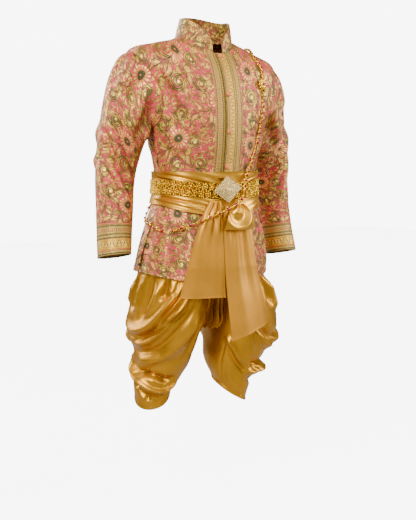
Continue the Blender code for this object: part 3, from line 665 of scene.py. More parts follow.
# (u, v, radius, half the number of petals)
BUDS = metres([(86, 70, 11, 2.5), (34, 150, 10, 3.0), (10, 22, 10, 2.5)], 3)


def toned(share, colour):
    return tuple(min(share * c, 1.0) for c in colour)


def motif_frame(net, u, v, at_u, at_v):
    """Coordinates about the nearest repeat of a point of the half-drop lattice."""
    a = (u - at_u) / COLUMN
    i = net.math("FLOOR", a)
    x = (a - i - 0.5) * COLUMN
    b = (v - at_v) / DROP + net.math("FLOORED_MODULO", i, 2.0) * 0.5
    y = (b - net.math("FLOOR", b) - 0.5) * DROP
    return x, y


def spun(net, x, y, degrees):
    c = math.cos(math.radians(degrees))
    s = math.sin(math.radians(degrees))
    return x * c + y * s, y * c - x * s


def leaf(net, x, y, degrees, length, width, bend):
    """Signed inside distance of a curved teardrop."""
    a, b = spun(net, x, y, degrees)
    f = a / length
    axis = b - a * a * (bend / length)
    shape = (1.0 - f * f) * (0.62 + f * 0.38)
    inside = net.math("MINIMUM", shape * width - abs(axis), (1.0 - abs(f)) * width)
    return inside, f, axis


def scroll(net, x, y, radius, pitch, way):
    """Inside distance of a curl and its distance from the middle."""
    r = net.length(x, y)
    turn = net.math("ARCTAN2", y, x) * (way / (2.0 * PI))
    arm = net.math("FRACT", r / pitch + turn + 2.0)
    off = abs(arm - 0.5) * pitch
    width = (1.0 - r / radius) * (0.20 * pitch) + 0.0011
    return width - off, r


def brocade_colour(net, u, v, ground, daisies=True):
    """Daisies, curls, leaves and small buds in gold and green on the ground colour."""
    warp = net.noise(net.vector(u, v), 46.0, 1.0)
    u = u + (warp - 0.5) * 0.007
    v = v + (net.noise(net.vector(u, v, 3.0), 41.0, 1.0) - 0.5) * 0.007
    # painted glints: random flecks and patches vary the gold thread from olive to pale, as light catching it
    # would
    glint_flecks = net.noise(net.vector(u, v, 1.0), 330.0, 1.0)
    glinting_gold = net.mix(net.step(glint_flecks, 0.44, 0.54), GOLD, PALE)
    metal = net.mix(net.step(net.noise(net.vector(u, v, 5.0), 55.0, 1.0), 0.38, 0.60), OLIVE, glinting_gold)
    # a mist of small gold marks over the ground; its broad random patches are a painted sheen
    mist = net.step(net.cells(net.vector(u, v), 190.0), 0.42, 0.30)
    sheen_drift = net.step(net.noise(net.vector(u, v, 11.0), 30.0, 2.0), 0.36, 0.58)
    colour = net.mix(mist * (sheen_drift * 0.70 + 0.15), ground, net.mix(net.step(glint_flecks, 0.48, 0.6), OLIVE, GOLD))
    # curling filigree: broken rings about scattered middles
    for scale, turns, lift in ((34.0, 3.3, 0.0), (52.0, 2.8, 0.37)):
        where = net.vector(u, v, lift * 10.0)
        rings = net.cells(where, scale)
        sway = net.noise(where, scale * 1.6, 1.0)
        arc = abs(net.math("FRACT", rings * turns + sway * 1.1 + lift) - 0.5)
        broken = net.step(net.noise(net.vector(u, v, 20.0 + lift), scale * 2.2, 1.0), 0.42, 0.49)
        colour = net.paint(colour, GREEN, arc, 0.235, 0.205, within=broken)
        colour = net.paint(colour, metal, arc, 0.185, 0.155, within=broken)
    for at_u, at_v, length, width, degrees, bend in LEAVES:
        x, y = motif_frame(net, u, v, at_u, at_v)
        inside, f, axis = leaf(net, x, y, degrees, length, width, bend)
        colour = net.paint(colour, GREEN, inside, -0.0020, -0.0010)
        vein = net.step(net.math("SINE", (f * length + abs(axis)) * 1500.0), -0.1, 0.5)
        blade = net.mix(vein * 0.75, metal, ground)
        colour = net.paint(colour, blade, inside, 0.0002, 0.0012)
        colour = net.paint(colour, PALE, inside, width * 0.52, width * 0.62)
    for at_u, at_v, radius, pitch, way in CURLS:
        x, y = motif_frame(net, u, v, at_u, at_v)
        inside, r = scroll(net, x, y, radius, pitch, way)
        within = net.step(r, radius, radius - 0.002)
        colour = net.paint(colour, GREEN, inside, -0.0021, -0.0011, within=within)
        colour = net.paint(colour, metal, inside, 0.0000, 0.0008, within=within)
        colour = net.paint(colour, PALE, r, 0.0044, 0.0034)
    for at_u, at_v, radius, half_petals in BUDS:
        x, y = motif_frame(net, u, v, at_u, at_v)
        r = net.length(x, y)
        lobes = abs(net.math("SINE", net.math("ARCTAN2", y, x) * half_petals))
        edge = lobes * (radius * 0.35) + radius * 0.62 - r
        colour = net.paint(colour, GREEN, edge, -0.0017, -0.0008)
        colour = net.paint(colour, metal, edge, 0.0002, 0.0010)
        colour = net.paint(colour, SALMON, r, 0.0032, 0.0022)
    if not daisies:
        return colour, glint_flecks
    # daisy of sixteen petals about a green eye
    x, y = motif_frame(net, u, v, DAISY_U, DAISY_V)
    r = net.length(x, y)
    angle = net.math("ARCTAN2", y, x)
    colour = net.paint(colour, ground, r, 0.0285, 0.0265)
    lobes = abs(net.math("COSINE", angle * 8.0))
    petal = net.step(lobes, 0.58, 0.76) * net.step(r, 0.0104, 0.0118)
    petal = petal * net.step(lobes * 0.0040 + 0.0222 - r, -0.0006, 0.0004)
    rib = net.step(lobes, 0.90, 0.97) * net.step(r, 0.0215, 0.0205)
    colour = net.mix(petal, colour, net.mix(rib * 0.7, net.mix(net.step(r, 0.019, 0.013), PALE, GOLD), OLIVE))
    colour = net.paint(colour, GREEN, r, 0.0120, 0.0108)
    dots = net.step(net.math("SINE", angle * 9.0), 0.3, 0.8) * net.step(abs(r - 0.0078), 0.0015, 0.0007)
    colour = net.mix(dots, colour, OLIVE)
    return net.paint(colour, SALMON, r, 0.0030, 0.0022), glint_flecks


def border_colour(net, along, across, glint_flecks):
    """A woven band: across runs 0 at the cloth's edge to 1 at its inner side."""
    # painted glints: the border's olive ground is flecked lighter brown, as light catching the gold thread
    # would
    colour = net.mix(net.step(glint_flecks, 0.44, 0.60), OLIVE, (0.44, 0.27, 0.055))
    wave = net.math("SINE", along * (2.0 * PI / 0.0200))
    strip = net.step(abs(across - 0.34), 0.165, 0.150)
    fine = net.cells(net.vector(along, across * 0.06), 330.0)
    colour = net.mix(strip, colour, net.mix(net.step(fine, 0.22, 0.40), (0.50, 0.135, 0.030), GOLD))
    vine = net.step(abs(across - 0.34 - wave * 0.070), 0.040, 0.018)
    colour = net.mix(vine * strip, colour, GREEN)
    cell = net.math("FRACT", along / 0.0100) - 0.5
    bloom = cell * cell * 5.5 + (across - 0.34) * (across - 0.34) * 70.0
    colour = net.paint(colour, PALE, bloom, 0.46, 0.36, within=strip)
    colour = net.paint(colour, (0.55, 0.080, 0.030), bloom, 0.14, 0.08, within=strip)
    tick = net.step(net.math("SINE", along * (2.0 * PI / 0.0062)), -0.2, 0.5)
    for line, width, shade in ((0.045, 0.016, GREEN), (0.150, 0.016, SALMON), (0.530, 0.014, GREEN),
                               (0.640, 0.010, GREEN), (0.905, 0.012, GREEN), (0.985, 0.018, SALMON)):
        colour = net.paint(colour, shade, abs(across - line), width, width * 0.5)
    dashes = net.step(abs(across - 0.775), 0.048, 0.036) * tick
    colour = net.mix(dashes, colour, (0.74, 0.270, 0.070))
    beads = net.step(net.math("SINE", along * (2.0 * PI / 0.0045)), 0.0, 0.6)
    for line in (0.095, 0.585, 0.700, 0.850):
        colour = net.paint(colour, PALE, abs(across - line), 0.020, 0.008, within=beads)
    return colour


def brocade(name, ground, cuff=0.0, edge=0.0, shift=(0.0, 0.0), daisies=True):
    """cuff and edge are the widths of the woven bands at a cuff and along a front edge, or 0."""
    net = Net(name, PINK, 0.0, 0.5)
    u, v = net.uv("cloth")
    u = u + shift[0]
    v = v + shift[1]
    # painted sheen: the ground is darkened to 72% in broad random patches, standing in for the silk's
    # changing sheen
    sheen_patches = net.noise(net.vector(u, v, 7.0), 9.0, 2.0)
    shade = net.mix(net.step(sheen_patches, 0.35, 0.7), ground, toned(0.72, ground))
    colour, glint_flecks = brocade_colour(net, u, v, shade, daisies)
    off_edge, off_cuff = net.uv("band")
    if edge:
        band = border_colour(net, v, off_edge / edge, glint_flecks)
        colour = net.paint(colour, band, off_edge, edge + 0.0006, edge - 0.0006)
    if cuff:
        band = border_colour(net, u, off_cuff / cuff, glint_flecks)
        colour = net.paint(colour, band, off_cuff, cuff + 0.0008, cuff - 0.0008)
    # twill of the ground and the raised gold weft
    twill = net.math("SINE", (u + v) * 4200.0)
    weft = net.math("SINE", v * 6100.0)
    red = net.tree.nodes.new("ShaderNodeSeparateColor")
    net.put(red.inputs[0], colour)
    gilt = net.step(Wire(net, red.outputs[1]), 0.10, 0.30)
    net.bump(gilt * 0.9 + twill * 0.12 + weft * 0.10 + glint_flecks * 0.35, 0.55, 0.0007)
    colour = net.mix(0.06 * (twill + 1.0), colour, toned(0.5, OLIVE))
    return net.set(Base_Color=colour, Roughness=0.54 - gilt * 0.18, Metallic=gilt * 0.50,
                   Specular_IOR_Level=0.30)


def satin(name, colour, rough, metallic):
    net = Net(name, colour, metallic, rough)
    where = net.place()
    mottle = net.noise(where, 14.0, 3.0)
    threads = net.noise(net.place((1.0, 1.0, 0.06)), 900.0, 2.0)
    fine = net.noise(where, 2600.0, 1.0)
    base = net.mix(net.step(mottle, 0.30, 0.72), toned(0.86, colour), colour)
    base = net.mix(net.step(threads, 0.40, 0.75) * 0.22, base, toned(1.25, colour))
    net.bump(threads * 0.6 + fine * 0.5 + mottle * 0.6, 0.16, 0.0006)
    return net.set(Base_Color=base, Roughness=(mottle - 0.5) * 0.10 + rough)


def gilt(name, colour, rough, grain):
    net = Net(name, colour, 1.0, rough)
    where = net.place()
    pits = net.cells(where, grain, "SMOOTH_F1")
    worn = net.noise(where, 120.0, 3.0)
    # painted shade: the small pits of the gold are darkened to 28%
    base = net.mix(net.step(pits, 0.10, 0.55), toned(0.28, colour), colour)
    base = net.mix(net.step(worn, 0.42, 0.62) * 0.35, base, toned(1.2, colour))
    net.bump(pits * 1.2 + worn * 0.2, 0.45, 0.0012)
    return net.set(Base_Color=base, Roughness=(worn - 0.5) * 0.2 + rough)


def stone(name, colour, rough):
    net = Net(name, colour, 0.0, rough)
    facets = net.cells(net.place(), 420.0)
    base = net.mix(net.step(facets, 0.15, 0.60), toned(1.8, colour), colour)
    net.bump(facets, 0.35, 0.0010)
    return net.set(Base_Color=base, Coat_Weight=0.3, Coat_Roughness=0.05)


BROCADE = brocade("brocade_body", PINK)
BROCADE_LEFT = brocade("brocade_left_front", PINK, edge=FRONT_BORDER, shift=(0.018, 0.030))
BROCADE_RIGHT = brocade("brocade_right_front", PINK, edge=RIGHT_BORDER, shift=(0.060, 0.012))
BROCADE_SLEEVE = brocade("brocade_sleeve", PINK, cuff=CUFF_BORDER, shift=(0.015, 0.062))
BROCADE_COLLAR = brocade("brocade_collar", ROSE, shift=(0.02, 0.09), daisies=False)
SATIN = satin("satin_drape", (0.56, 0.250, 0.006), 0.39, 0.78)
SATIN_SASH = satin("satin_sash", (0.66, 0.310, 0.014), 0.36, 0.80)
SATIN_TAIL = satin("satin_tail", (0.60, 0.252, 0.010), 0.44, 0.62)
# the belt's backing plate, painted dark brown as the shade in the gaps between the gold domes
SHADED_PLATE_GILT = gilt("gilt_plate_painted_shade", (0.18, 0.060, 0.003), 0.45, 520.0)
GILT_SMOOTH = gilt("gilt_link", (0.96, 0.54, 0.018), 0.22, 260.0)
PAVE = gilt("pale_plate", (0.80, 0.55, 0.18), 0.28, 700.0)
CLEAR = stone("clear_stone", (1.00, 0.68, 0.26), 0.22)
RUBY = stone("ruby_stone", (0.24, 0.000, 0.003), 0.12)


# ---- jacket -------------------------------------------------------------------------------------
TURN_LENGTH = 0.0031        # metres of cloth to a degree of turn, for placing creases
# creases: (height, width on one side, on the other, then the path's points (turn, row))
JACKET_FOLDS = [
    # right chest: from the collar down beside the armhole, and the pull across the breast
    (3, 10, 16, (-44, 1400), (-47, 1330), (-40, 1270), (-46, 1215)),
    (-3, 9, 12, (-37, 1385), (-39, 1320), (-33, 1265), (-38, 1205)),
    (-3.5, 10, 14, (-56, 1300), (-50, 1235), (-47, 1165), (-50, 1110)),
    (3.4, 12, 16, (-49, 1290), (-42, 1220), (-38, 1150)),
    (-2.6, 12, 16, (-62, 1140), (-44, 1095), (-26, 1085)),
    (2.2, 14, 18, (-64, 1110), (-46, 1062), (-24, 1040)),
    (-2, 10, 16, (-78, 1085), (-66, 1045), (-50, 1018)),
    (1.6, 16, 22, (-20, 1200), (-16, 1140), (-18, 1070)),
    # left chest
    (3, 12, 14, (50, 1320), (44, 1240), (43, 1165), (47, 1110)),
    (-3.2, 10, 13, (58, 1290), (52, 1220), (50, 1150), (54, 1095)),
    (-2.4, 12, 16, (66, 1130), (48, 1092), (32, 1078)),
    (2, 12, 18, (70, 1105), (52, 1055), (34, 1030)),
    (1.8, 12, 16, (26, 1270), (24, 1190), (27, 1100)),
    # skirt of the jacket
    (4, 18, 26, (-62, 860), (-58, 790), (-56, 702)),
    (-3.8, 16, 22, (-48, 856), (-45, 780), (-43, 702)),
    (3, 16, 22, (-34, 840), (-33, 770), (-32, 702)),
    (-3, 16, 24, (-82, 850), (-84, 780), (-85, 702)),
    (-2, 10, 14, (-72, 866), (-60, 846), (-44, 838)),
    (3.6, 18, 24, (58, 850), (55, 780), (53, 702)),
    (-3.6, 16, 22, (70, 860), (69, 780), (68, 702)),
    (3, 18, 24, (84, 850), (86, 780), (87, 702)),
    # back: blade folds, the small of the back, and the skirt
    (-3.2, 12, 16, (122, 1300), (129, 1225), (130, 1150), (124, 1090)),
    (3, 14, 18, (131, 1290), (138, 1215), (137, 1140)),
    (-3.2, 12, 16, (238, 1300), (231, 1225), (231, 1150), (237, 1090)),
    (3, 14, 18, (229, 1290), (222, 1215), (224, 1140)),
    (-2.8, 12, 16, (110, 1110), (140, 1068), (168, 1058)),
    (2.4, 14, 18, (112, 1080), (142, 1036), (170, 1028)),
    (-2.6, 12, 16, (250, 1115), (222, 1076), (196, 1060)),
    (2.4, 14, 18, (248, 1082), (219, 1042), (192, 1030)),
    (-1.8, 10, 14, (150, 1372), (180, 1354), (208, 1372)),
    (4.2, 20, 26, (126, 850), (122, 780), (120, 702)),
    (-3.8, 18, 24, (146, 856), (144, 780), (142, 702)),
    (3.6, 20, 26, (168, 850), (166, 780), (165, 702)),
    (-3.6, 18, 24, (192, 856), (194, 780), (195, 702)),
    (4, 20, 26, (214, 850), (217, 780), (219, 702)),
    (-3.4, 18, 24, (236, 850), (238, 780), (240, 702)),
]


def on_body(turn, row):
    return turn * TURN_LENGTH, row / 1000.0


def jacket_relief(turn, row):
    total = 1.8 * folds(turn * TURN_LENGTH, row, JACKET_FOLDS, on_body)
    total = total + 0.0011 * np.sin(turn * 0.11 + row * 9.0) * np.sin(row * 31.0 + turn * 0.05)
    # pulled flat under the sash and belt, and at the neck seam
    calm = 1.0 - smooth(0.85, 0.885, row) * (1.0 - smooth(1.000, 1.025, row))
    return total * calm * (1.0 - smooth(1.425, 1.455, row))


def armhole_turn(row):
    share = (row - ARMHOLE_MID) / ARMHOLE_HALF
    return ARMHOLE_TURN * np.sqrt(np.maximum(1.0 - share * share, 0.0))


LEVELS = np.concatenate([
    np.linspace(HEM_ROW, ARMHOLE_MID - ARMHOLE_HALF, 96)[:-1],
    ARMHOLE_MID - ARMHOLE_HALF * np.cos(np.linspace(0.0, PI, 61)),
    np.linspace(ARMHOLE_MID + ARMHOLE_HALF, NECK_ROW, 32)[1:]])
SEAM_TURN = 0.12


def jacket_edges(turn, row, start, end):
    """Piped look of the seams and the turned hem: a shallow groove beside each."""
    near = np.minimum(np.abs(turn - start), np.abs(end - turn)) * TURN_LENGTH
    return -0.0009 * bell(row - HEM_ROW - 0.020, 0.0016) - 0.0008 * bell(near, 0.0025)


def front_panel(side, count):
    row = np.repeat(LEVELS[:, None], count, axis=1)
    edge = turn_at_x(OVERLAP_EDGE if side > 0 else UNDERLAP_EDGE, LEVELS)
    seam = side * (90.0 - SEAM_TURN - armhole_turn(LEVELS))
    share = np.linspace(0.0, 1.0, count)[None, :]
    first, last = (edge, seam) if side > 0 else (seam, edge)
    turn = first[:, None] + (last - first)[:, None] * share
    points = body(turn, row)
    relief = jacket_relief(turn, row) + jacket_edges(turn, row, seam[:, None], seam[:, None])
    if side > 0:
        points = points + (FRONT_LIFT * (1.0 - smooth(0.028, 0.055, points[..., 0])))[..., None] \
            * body_normal(turn, row)
    near_front = smooth(0.030, 0.065, np.abs(points[..., 0]))
    relief = relief * np.where(relief > 0.0, 0.35 + 0.65 * near_front, near_front)
    start = 0 if side > 0 else count - 1
    away = np.abs(run_across(points, start))
    up = run_up(points, start, count)
    # the stitched lines that hold the woven border down
    for line in (FRONT_BORDER, 0.0035):
        relief = relief - 0.0006 * bell(away - line, 0.0012)
    uv = np.stack([away * side, up], axis=-1)
    band = np.stack([away, np.ones_like(away)], axis=-1)
    name, finish = (("jacket_front_left", BROCADE_LEFT) if side > 0
                    else ("jacket_front_right", BROCADE_RIGHT))
    cloth(name, "brocade", points, finish, uv=uv, band=band, relief=relief)


def back_panel(count):
    row = np.repeat(LEVELS[:, None], count, axis=1)
    start = 90.0 + SEAM_TURN + armhole_turn(LEVELS)
    turn = start[:, None] + (360.0 - 2.0 * start)[:, None] * np.linspace(0.0, 1.0, count)[None, :]
    points = body(turn, row)
    relief = jacket_relief(turn, row) + jacket_edges(turn, row, start[:, None], 360.0 - start[:, None])
    middle = count // 2
    uv = np.stack([run_across(points, middle), run_up(points, middle, count)], axis=-1)
    cloth("jacket_back", "brocade", points, BROCADE, uv=uv, band=np.ones_like(uv), relief=relief)


front_panel(1, 76)
front_panel(-1, 84)
back_panel(124)

# ---- sleeves: angle 0 is the outer line, 90 the front, 180 the inner line; along 0 to 1 ---------
SLEEVE_ROUND = 0.065        # metres of cloth to a radian
SLEEVE_LONG = 0.60
SLEEVE_FOLDS = [
    # (height, width, width, then the path's points (degrees round, share along))
    (7, 9, 16, (10, 0.36), (50, 0.47), (95, 0.6), (130, 0.68)),
    (-6, 11, 12, (28, 0.34), (70, 0.44), (112, 0.55), (145, 0.62)),
    (6, 9, 15, (-6, 0.44), (36, 0.56), (80, 0.68), (118, 0.79)),
    (-5.5, 10, 13, (4, 0.41), (48, 0.52), (92, 0.64), (128, 0.735)),
    (4.5, 9, 14, (0, 0.56), (44, 0.67), (84, 0.8)),
    (-4.5, 10, 13, (-8, 0.52), (36, 0.625), (78, 0.745)),
    (5.2, 9, 14, (96, 0.04), (98, 0.16), (92, 0.28), (84, 0.4)),
    (-5, 10, 12, (116, 0.05), (116, 0.17), (108, 0.3), (100, 0.41)),
    (4.4, 9, 12, (134, 0.08), (138, 0.2), (134, 0.32)),
    (-4, 10, 14, (74, 0.05), (72, 0.16), (62, 0.3)),
    (3.4, 14, 18, (44, 0.03), (46, 0.14), (40, 0.27)),
    (-3, 14, 16, (18, 0.06), (16, 0.18), (10, 0.3)),
    # back of the arm
    (6, 10, 16, (-20, 0.4), (-62, 0.48), (-106, 0.56), (-146, 0.6)),
    (-5.5, 11, 13, (-26, 0.35), (-66, 0.42), (-110, 0.5), (-148, 0.54)),
    (5, 10, 15, (-24, 0.54), (-70, 0.62), (-114, 0.71)),
    (-5, 11, 13, (-30, 0.49), (-72, 0.565), (-118, 0.645)),
    (4.6, 10, 14, (-98, 0.05), (-102, 0.17), (-96, 0.3)),
    (-4.4, 11, 13, (-120, 0.06), (-124, 0.18), (-120, 0.32)),
    (-3.6, 12, 16, (-72, 0.05), (-70, 0.18), (-60, 0.3)),
]


def sleeve(side, count, long_count):
    angle = np.linspace(0.0, 2.0 * PI, count, endpoint=False)
    row = ARMHOLE_MID + (ARMHOLE_HALF - 0.0014) * np.cos(angle)
    cut = (ARMHOLE_TURN - 0.50) * np.sin(angle)
    rings = [body(side * (90.0 - cut), row)]
    for number, (outer_x, outer_z, inner_x, inner_z, mid_y, depth, drop) in enumerate(SLEEVE_ROWS):
        share = number / (len(SLEEVE_ROWS) - 1)
        lower = LEFT_SLEEVE_DROP * float(smooth(0.4, 1.0, share)) if side > 0 else 0.0
        lower += side * SHOULDER_TILT * (1.0 - float(smooth(0.0, 0.6, share)))
        part = 0.5 + 0.5 * np.cos(angle)
        x = inner_x + (outer_x - inner_x) * part
        y = mid_y - depth * np.sin(angle)
        z = inner_z + (outer_z - inner_z) * part - drop * (y - mid_y) - lower
        rings.append(np.stack([side * x, y, z], axis=-1))
    grid = evenly_through([ring.ravel() for ring in rings], long_count).reshape(long_count, count, 3)
    share = np.repeat(np.linspace(0.0, 1.0, long_count)[:, None], count, axis=1)
    degrees = np.degrees(np.repeat(((angle + PI) % (2.0 * PI) - PI)[None, :], long_count, axis=0))
    gain, shift, drop = (1.85 * 0.92, 0.006, 0.012) if side > 0 else (1.85, 0.0, 0.0)

    def on_sleeve(p, q):
        return math.radians(p) * SLEEVE_ROUND + shift, -q * SLEEVE_LONG - drop

    relief = gain * folds(np.radians(degrees) * SLEEVE_ROUND, -share * SLEEVE_LONG, SLEEVE_FOLDS, on_sleeve)
    # eased fullness just under the armhole seam, and a flat band at the cuff
    relief = relief + 0.0012 * np.sin(np.radians(degrees) * 9.0) * bell(share - 0.05, 0.03)
    relief = relief * smooth(0.0, 0.05, share) * (1.0 - 0.75 * smooth(0.80, 0.90, share))
    relief = relief - 0.0008 * bell(share - 0.985, 0.003) - 0.0008 * bell(share - 0.012, 0.006)
    # the seam allowance turned in under the jacket's edge
    tuck = grid[0] - 0.005 * body_normal(side * (90.0 - cut), row) - side * np.array([0.009, 0.0, 0.0])
    grid = np.concatenate([tuck[None], grid])
    relief = np.concatenate([np.zeros((1, count)), relief])
    grid, relief = grid[::-1, ::-side], relief[::-1, ::-side]
    across = run_across(grid, 0, wrap=True)
    up = run_up(grid, 0, count + 1)
    uv = np.stack([across, up], axis=-1)
    band = np.stack([np.ones_like(up), up], axis=-1)
    cloth("sleeve_left" if side > 0 else "sleeve_right", "brocade", grid, BROCADE_SLEEVE, wrap=True,
          uv=uv, band=band, relief=relief)


for side in (1, -1):
    sleeve(side, 104, 150)


# ---- collar -------------------------------------------------------------------------------------
def collar(count, levels):
    k = np.linspace(0.0, 1.0, count)
    turns = COLLAR_LEFT_END + (360.0 + COLLAR_RIGHT_END - COLLAR_LEFT_END) * (k - 0.032 * np.sin(4 * PI * k))
    turn = np.repeat(turns[None, :], levels, axis=0)
    run = np.radians(np.minimum(turns - COLLAR_LEFT_END, 360.0 + COLLAR_RIGHT_END - turns)) * 0.08
    corner = np.maximum(0.0, 1.0 - run / COLLAR_CORNER)
    top = 0.35 + 0.65 * np.sqrt(np.maximum(1.0 - corner ** 2, 0.0))
    share = np.linspace(0.0, 1.0, levels)[:, None] * top[None, :]
    s = np.sin(np.radians(turn))
    c = np.cos(np.radians(turn))
    base = body(turn, NECK_ROW) + np.stack([-0.0012 * s, 0.0012 * c, np.full_like(s, 0.0012)], axis=-1)
    half, side_y, side_z, front_y, front_z, back_y, back_z = COLLAR_TOP
    y = side_y + np.where(c >= 0, front_y - side_y, -(back_y - side_y)) * c
    z = side_z + np.where(c >= 0, front_z - side_z, back_z - side_z) * c * c
    grid = base + (np.stack([half * s, y, z], axis=-1) - base) * share[..., None]
    relief = 0.0008 * np.sin(math.pi * share) + 0.0004 * np.sin(turn * 0.13)
    for line in (0.07, 0.92):
        relief = relief - 0.0006 * bell(share / top[None, :] - line, 0.02)
    # the seam allowance turned down inside the neck
    tuck = grid[0] + np.stack([-0.0030 * s[0], 0.0030 * c[0], np.full(count, -0.0085)], axis=-1)
    grid = np.concatenate([tuck[None], grid])
    relief = np.concatenate([np.zeros((1, count)), relief])
    uv = np.stack([run_across(grid, 0), run_up(grid, count // 2, count)], axis=-1)
    cloth("collar", "brocade", grid, BROCADE_COLLAR, thick=0.0018, uv=uv, band=np.ones_like(uv),
          relief=relief)


collar(190, 18)


# ---- chong kraben: turn 0 front, 90 outer side, 180 back ----------------------------------------
LEG_ROUND = 0.115           # metres of cloth to a radian
# creases: (height, width above, width below, then the path's points (turn, height above the floor))
LEG_RIGHT_FOLDS = [
    # the long tube fold from the front of the waist round to the outer knee, and the lap above it
    (8.5, 16, 7.5, (6, 690), (15, 640), (31, 585), (44, 530), (66, 494), (95, 488), (126, 505), (150, 560)),
    (-8, 8, 10, (14, 690), (23, 645), (40, 592), (54, 543), (72, 516), (97, 511), (124, 528), (146, 580)),
    (5.2, 12, 6, (22, 690), (32, 645), (48, 598), (62, 556), (78, 534), (98, 532), (122, 552)),
    (-4.5, 9, 8, (-8, 665), (2, 610), (18, 550), (36, 497), (64, 466), (96, 462), (124, 476)),
    # second wide swell, its crest turning up on the inner side
    (10, 20, 16, (-14, 600), (-2, 545), (16, 488), (38, 452), (68, 441), (100, 452)),
    (-4.2, 14, 12, (-26, 580), (-20, 520), (-8, 462), (10, 430)),
    # the dark pocket at the outer shin and its lip
    (-15, 12, 9, (118, 434), (92, 408), (66, 398), (40, 390), (14, 378), (-8, 392)),
    (9, 9, 8.5, (126, 420), (98, 386), (70, 366), (42, 346), (16, 339), (-10, 357), (-30, 384)),
    (-5, 10, 12, (112, 372), (84, 342), (60, 322), (36, 314)),
    (3.4, 10, 12, (96, 352), (74, 326), (52, 312)),
    # deep upright folds under the jacket at the outer hip
    (-9, 10, 12, (70, 715), (74, 650), (80, 590), (84, 548)),
    (7, 10, 14, (58, 715), (62, 650), (68, 600), (74, 566)),
    (-8, 9, 12, (46, 715), (48, 662), (54, 622)),
    (6, 8, 10, (38, 715), (39, 672), (42, 640)),
    (-6, 8, 10, (30, 715), (31, 672), (36, 636)),
    (7, 10, 14, (88, 715), (93, 640), (97, 580)),
    (-9, 11, 14, (102, 715), (106, 640), (108, 570)),
    (7, 11, 14, (116, 715), (120, 640), (124, 590)),
    # back of the leg
    (8, 14, 10, (232, 660), (214, 585), (190, 520), (164, 492), (136, 500)),
    (-7, 10, 10, (226, 690), (206, 618), (184, 552), (160, 522), (136, 530)),
    (7.5, 14, 10, (226, 560), (206, 500), (184, 448), (158, 425), (128, 440)),
    (-7, 10, 10, (222, 520), (200, 460), (176, 410), (150, 392), (124, 404)),
    (-6.5, 11, 13, (136, 715), (138, 640), (142, 585)),
    (6, 11, 13, (154, 715), (156, 650), (160, 600)),
    (-6.5, 11, 13, (172, 715), (174, 650), (178, 600)),
    (6, 11, 13, (192, 715), (194, 660), (198, 615)),
    (-5.5, 11, 13, (210, 715), (212, 670), (216, 640)),
]
LEG_LEFT_FOLDS = [
    # bright lip on the outer thigh and the hollow above it
    (11, 14, 10, (-8, 545), (4, 500), (20, 470), (44, 462), (72, 478), (100, 520)),
    (-10, 12, 10, (2, 560), (14, 518), (30, 496), (52, 494), (74, 512)),
    (5, 14, 12, (-20, 545), (-12, 480), (2, 445), (26, 436)),
    # long slant from the inner thigh down to the second pocket
    (-6.5, 7, 10, (-54, 480), (-40, 446), (-24, 415), (-8, 394), (6, 386)),
    (6, 12, 8, (-60, 505), (-44, 465), (-27, 432), (-10, 408)),
    # second pocket with its rolled lip
    (-15, 9, 9, (2, 418), (14, 410), (32, 407), (56, 412), (84, 425)),
    (10, 8, 7.5, (-10, 398), (8, 384), (28, 378), (54, 381), (84, 396)),
    (-4, 8, 10, (-4, 372), (20, 357), (46, 352), (76, 362)),
    (3, 12, 12, (-46, 400), (-34, 362), (-16, 330), (4, 312)),
    # inner seam line
    (-2, 3.5, 3.5, (-60, 500), (-58, 440), (-58, 375), (-60, 330)),
    # upright folds at the hip
    (-9, 10, 12, (28, 715), (30, 640), (30, 580)),
    (8, 11, 13, (40, 715), (43, 640), (44, 560)),
    (-9, 10, 12, (53, 715), (56, 640), (58, 570)),
    (8, 11, 13, (66, 715), (70, 640), (72, 560)),
    (-8.5, 11, 13, (82, 715), (86, 640), (88, 575)),
    (7, 11, 13, (98, 715), (101, 640), (104, 585)),
    (-7, 11, 13, (114, 715), (117, 640), (120, 590)),
    # front, beside the tails
    (-5, 10, 12, (-30, 715), (-26, 640), (-22, 580), (-16, 530)),
    (5, 11, 13, (-14, 715), (-10, 640), (-6, 590)),
    # back of the leg
    (8, 14, 10, (232, 640), (214, 566), (190, 505), (164, 480), (130, 500)),
    (-7, 10, 10, (226, 672), (206, 600), (184, 536), (160, 512), (130, 532)),
    (7.5, 14, 10, (226, 530), (206, 470), (184, 422), (158, 402), (126, 424)),
    (-7, 10, 10, (222, 495), (200, 435), (176, 388), (150, 372), (118, 388)),
    (6, 11, 13, (132, 715), (135, 650), (140, 600)),
    (-6.5, 11, 13, (150, 715), (152, 650), (156, 600)),
    (6, 11, 13, (170, 715), (172, 650), (176, 600)),
    (-6, 11, 13, (190, 715), (192, 660), (196, 620)),
    (5.5, 11, 13, (208, 715), (211, 670), (215, 640)),
]


def swag_offset(swags, turn, z):
    """How far the hanging folds stand out from the leg."""
    total = 0.0
    for low_turn, low_z, rise, spread, bend, depth, above, below in swags:
        away = np.abs(((turn - low_turn + 180.0) % 360.0) - 180.0) / spread
        gap = z - low_z - rise * away ** bend
        fade = 1.0 - smooth(0.75, 1.25, away)
        over = np.exp(-np.maximum(gap, 0.0) / above) * smooth(-0.006, 0.010, gap)
        under = smooth(-0.010, 0.0, gap) * 0.5 - 0.55 * bell(gap + below, below)
        total = total + depth * fade * np.where(gap >= 0.0, over, under)
    return total


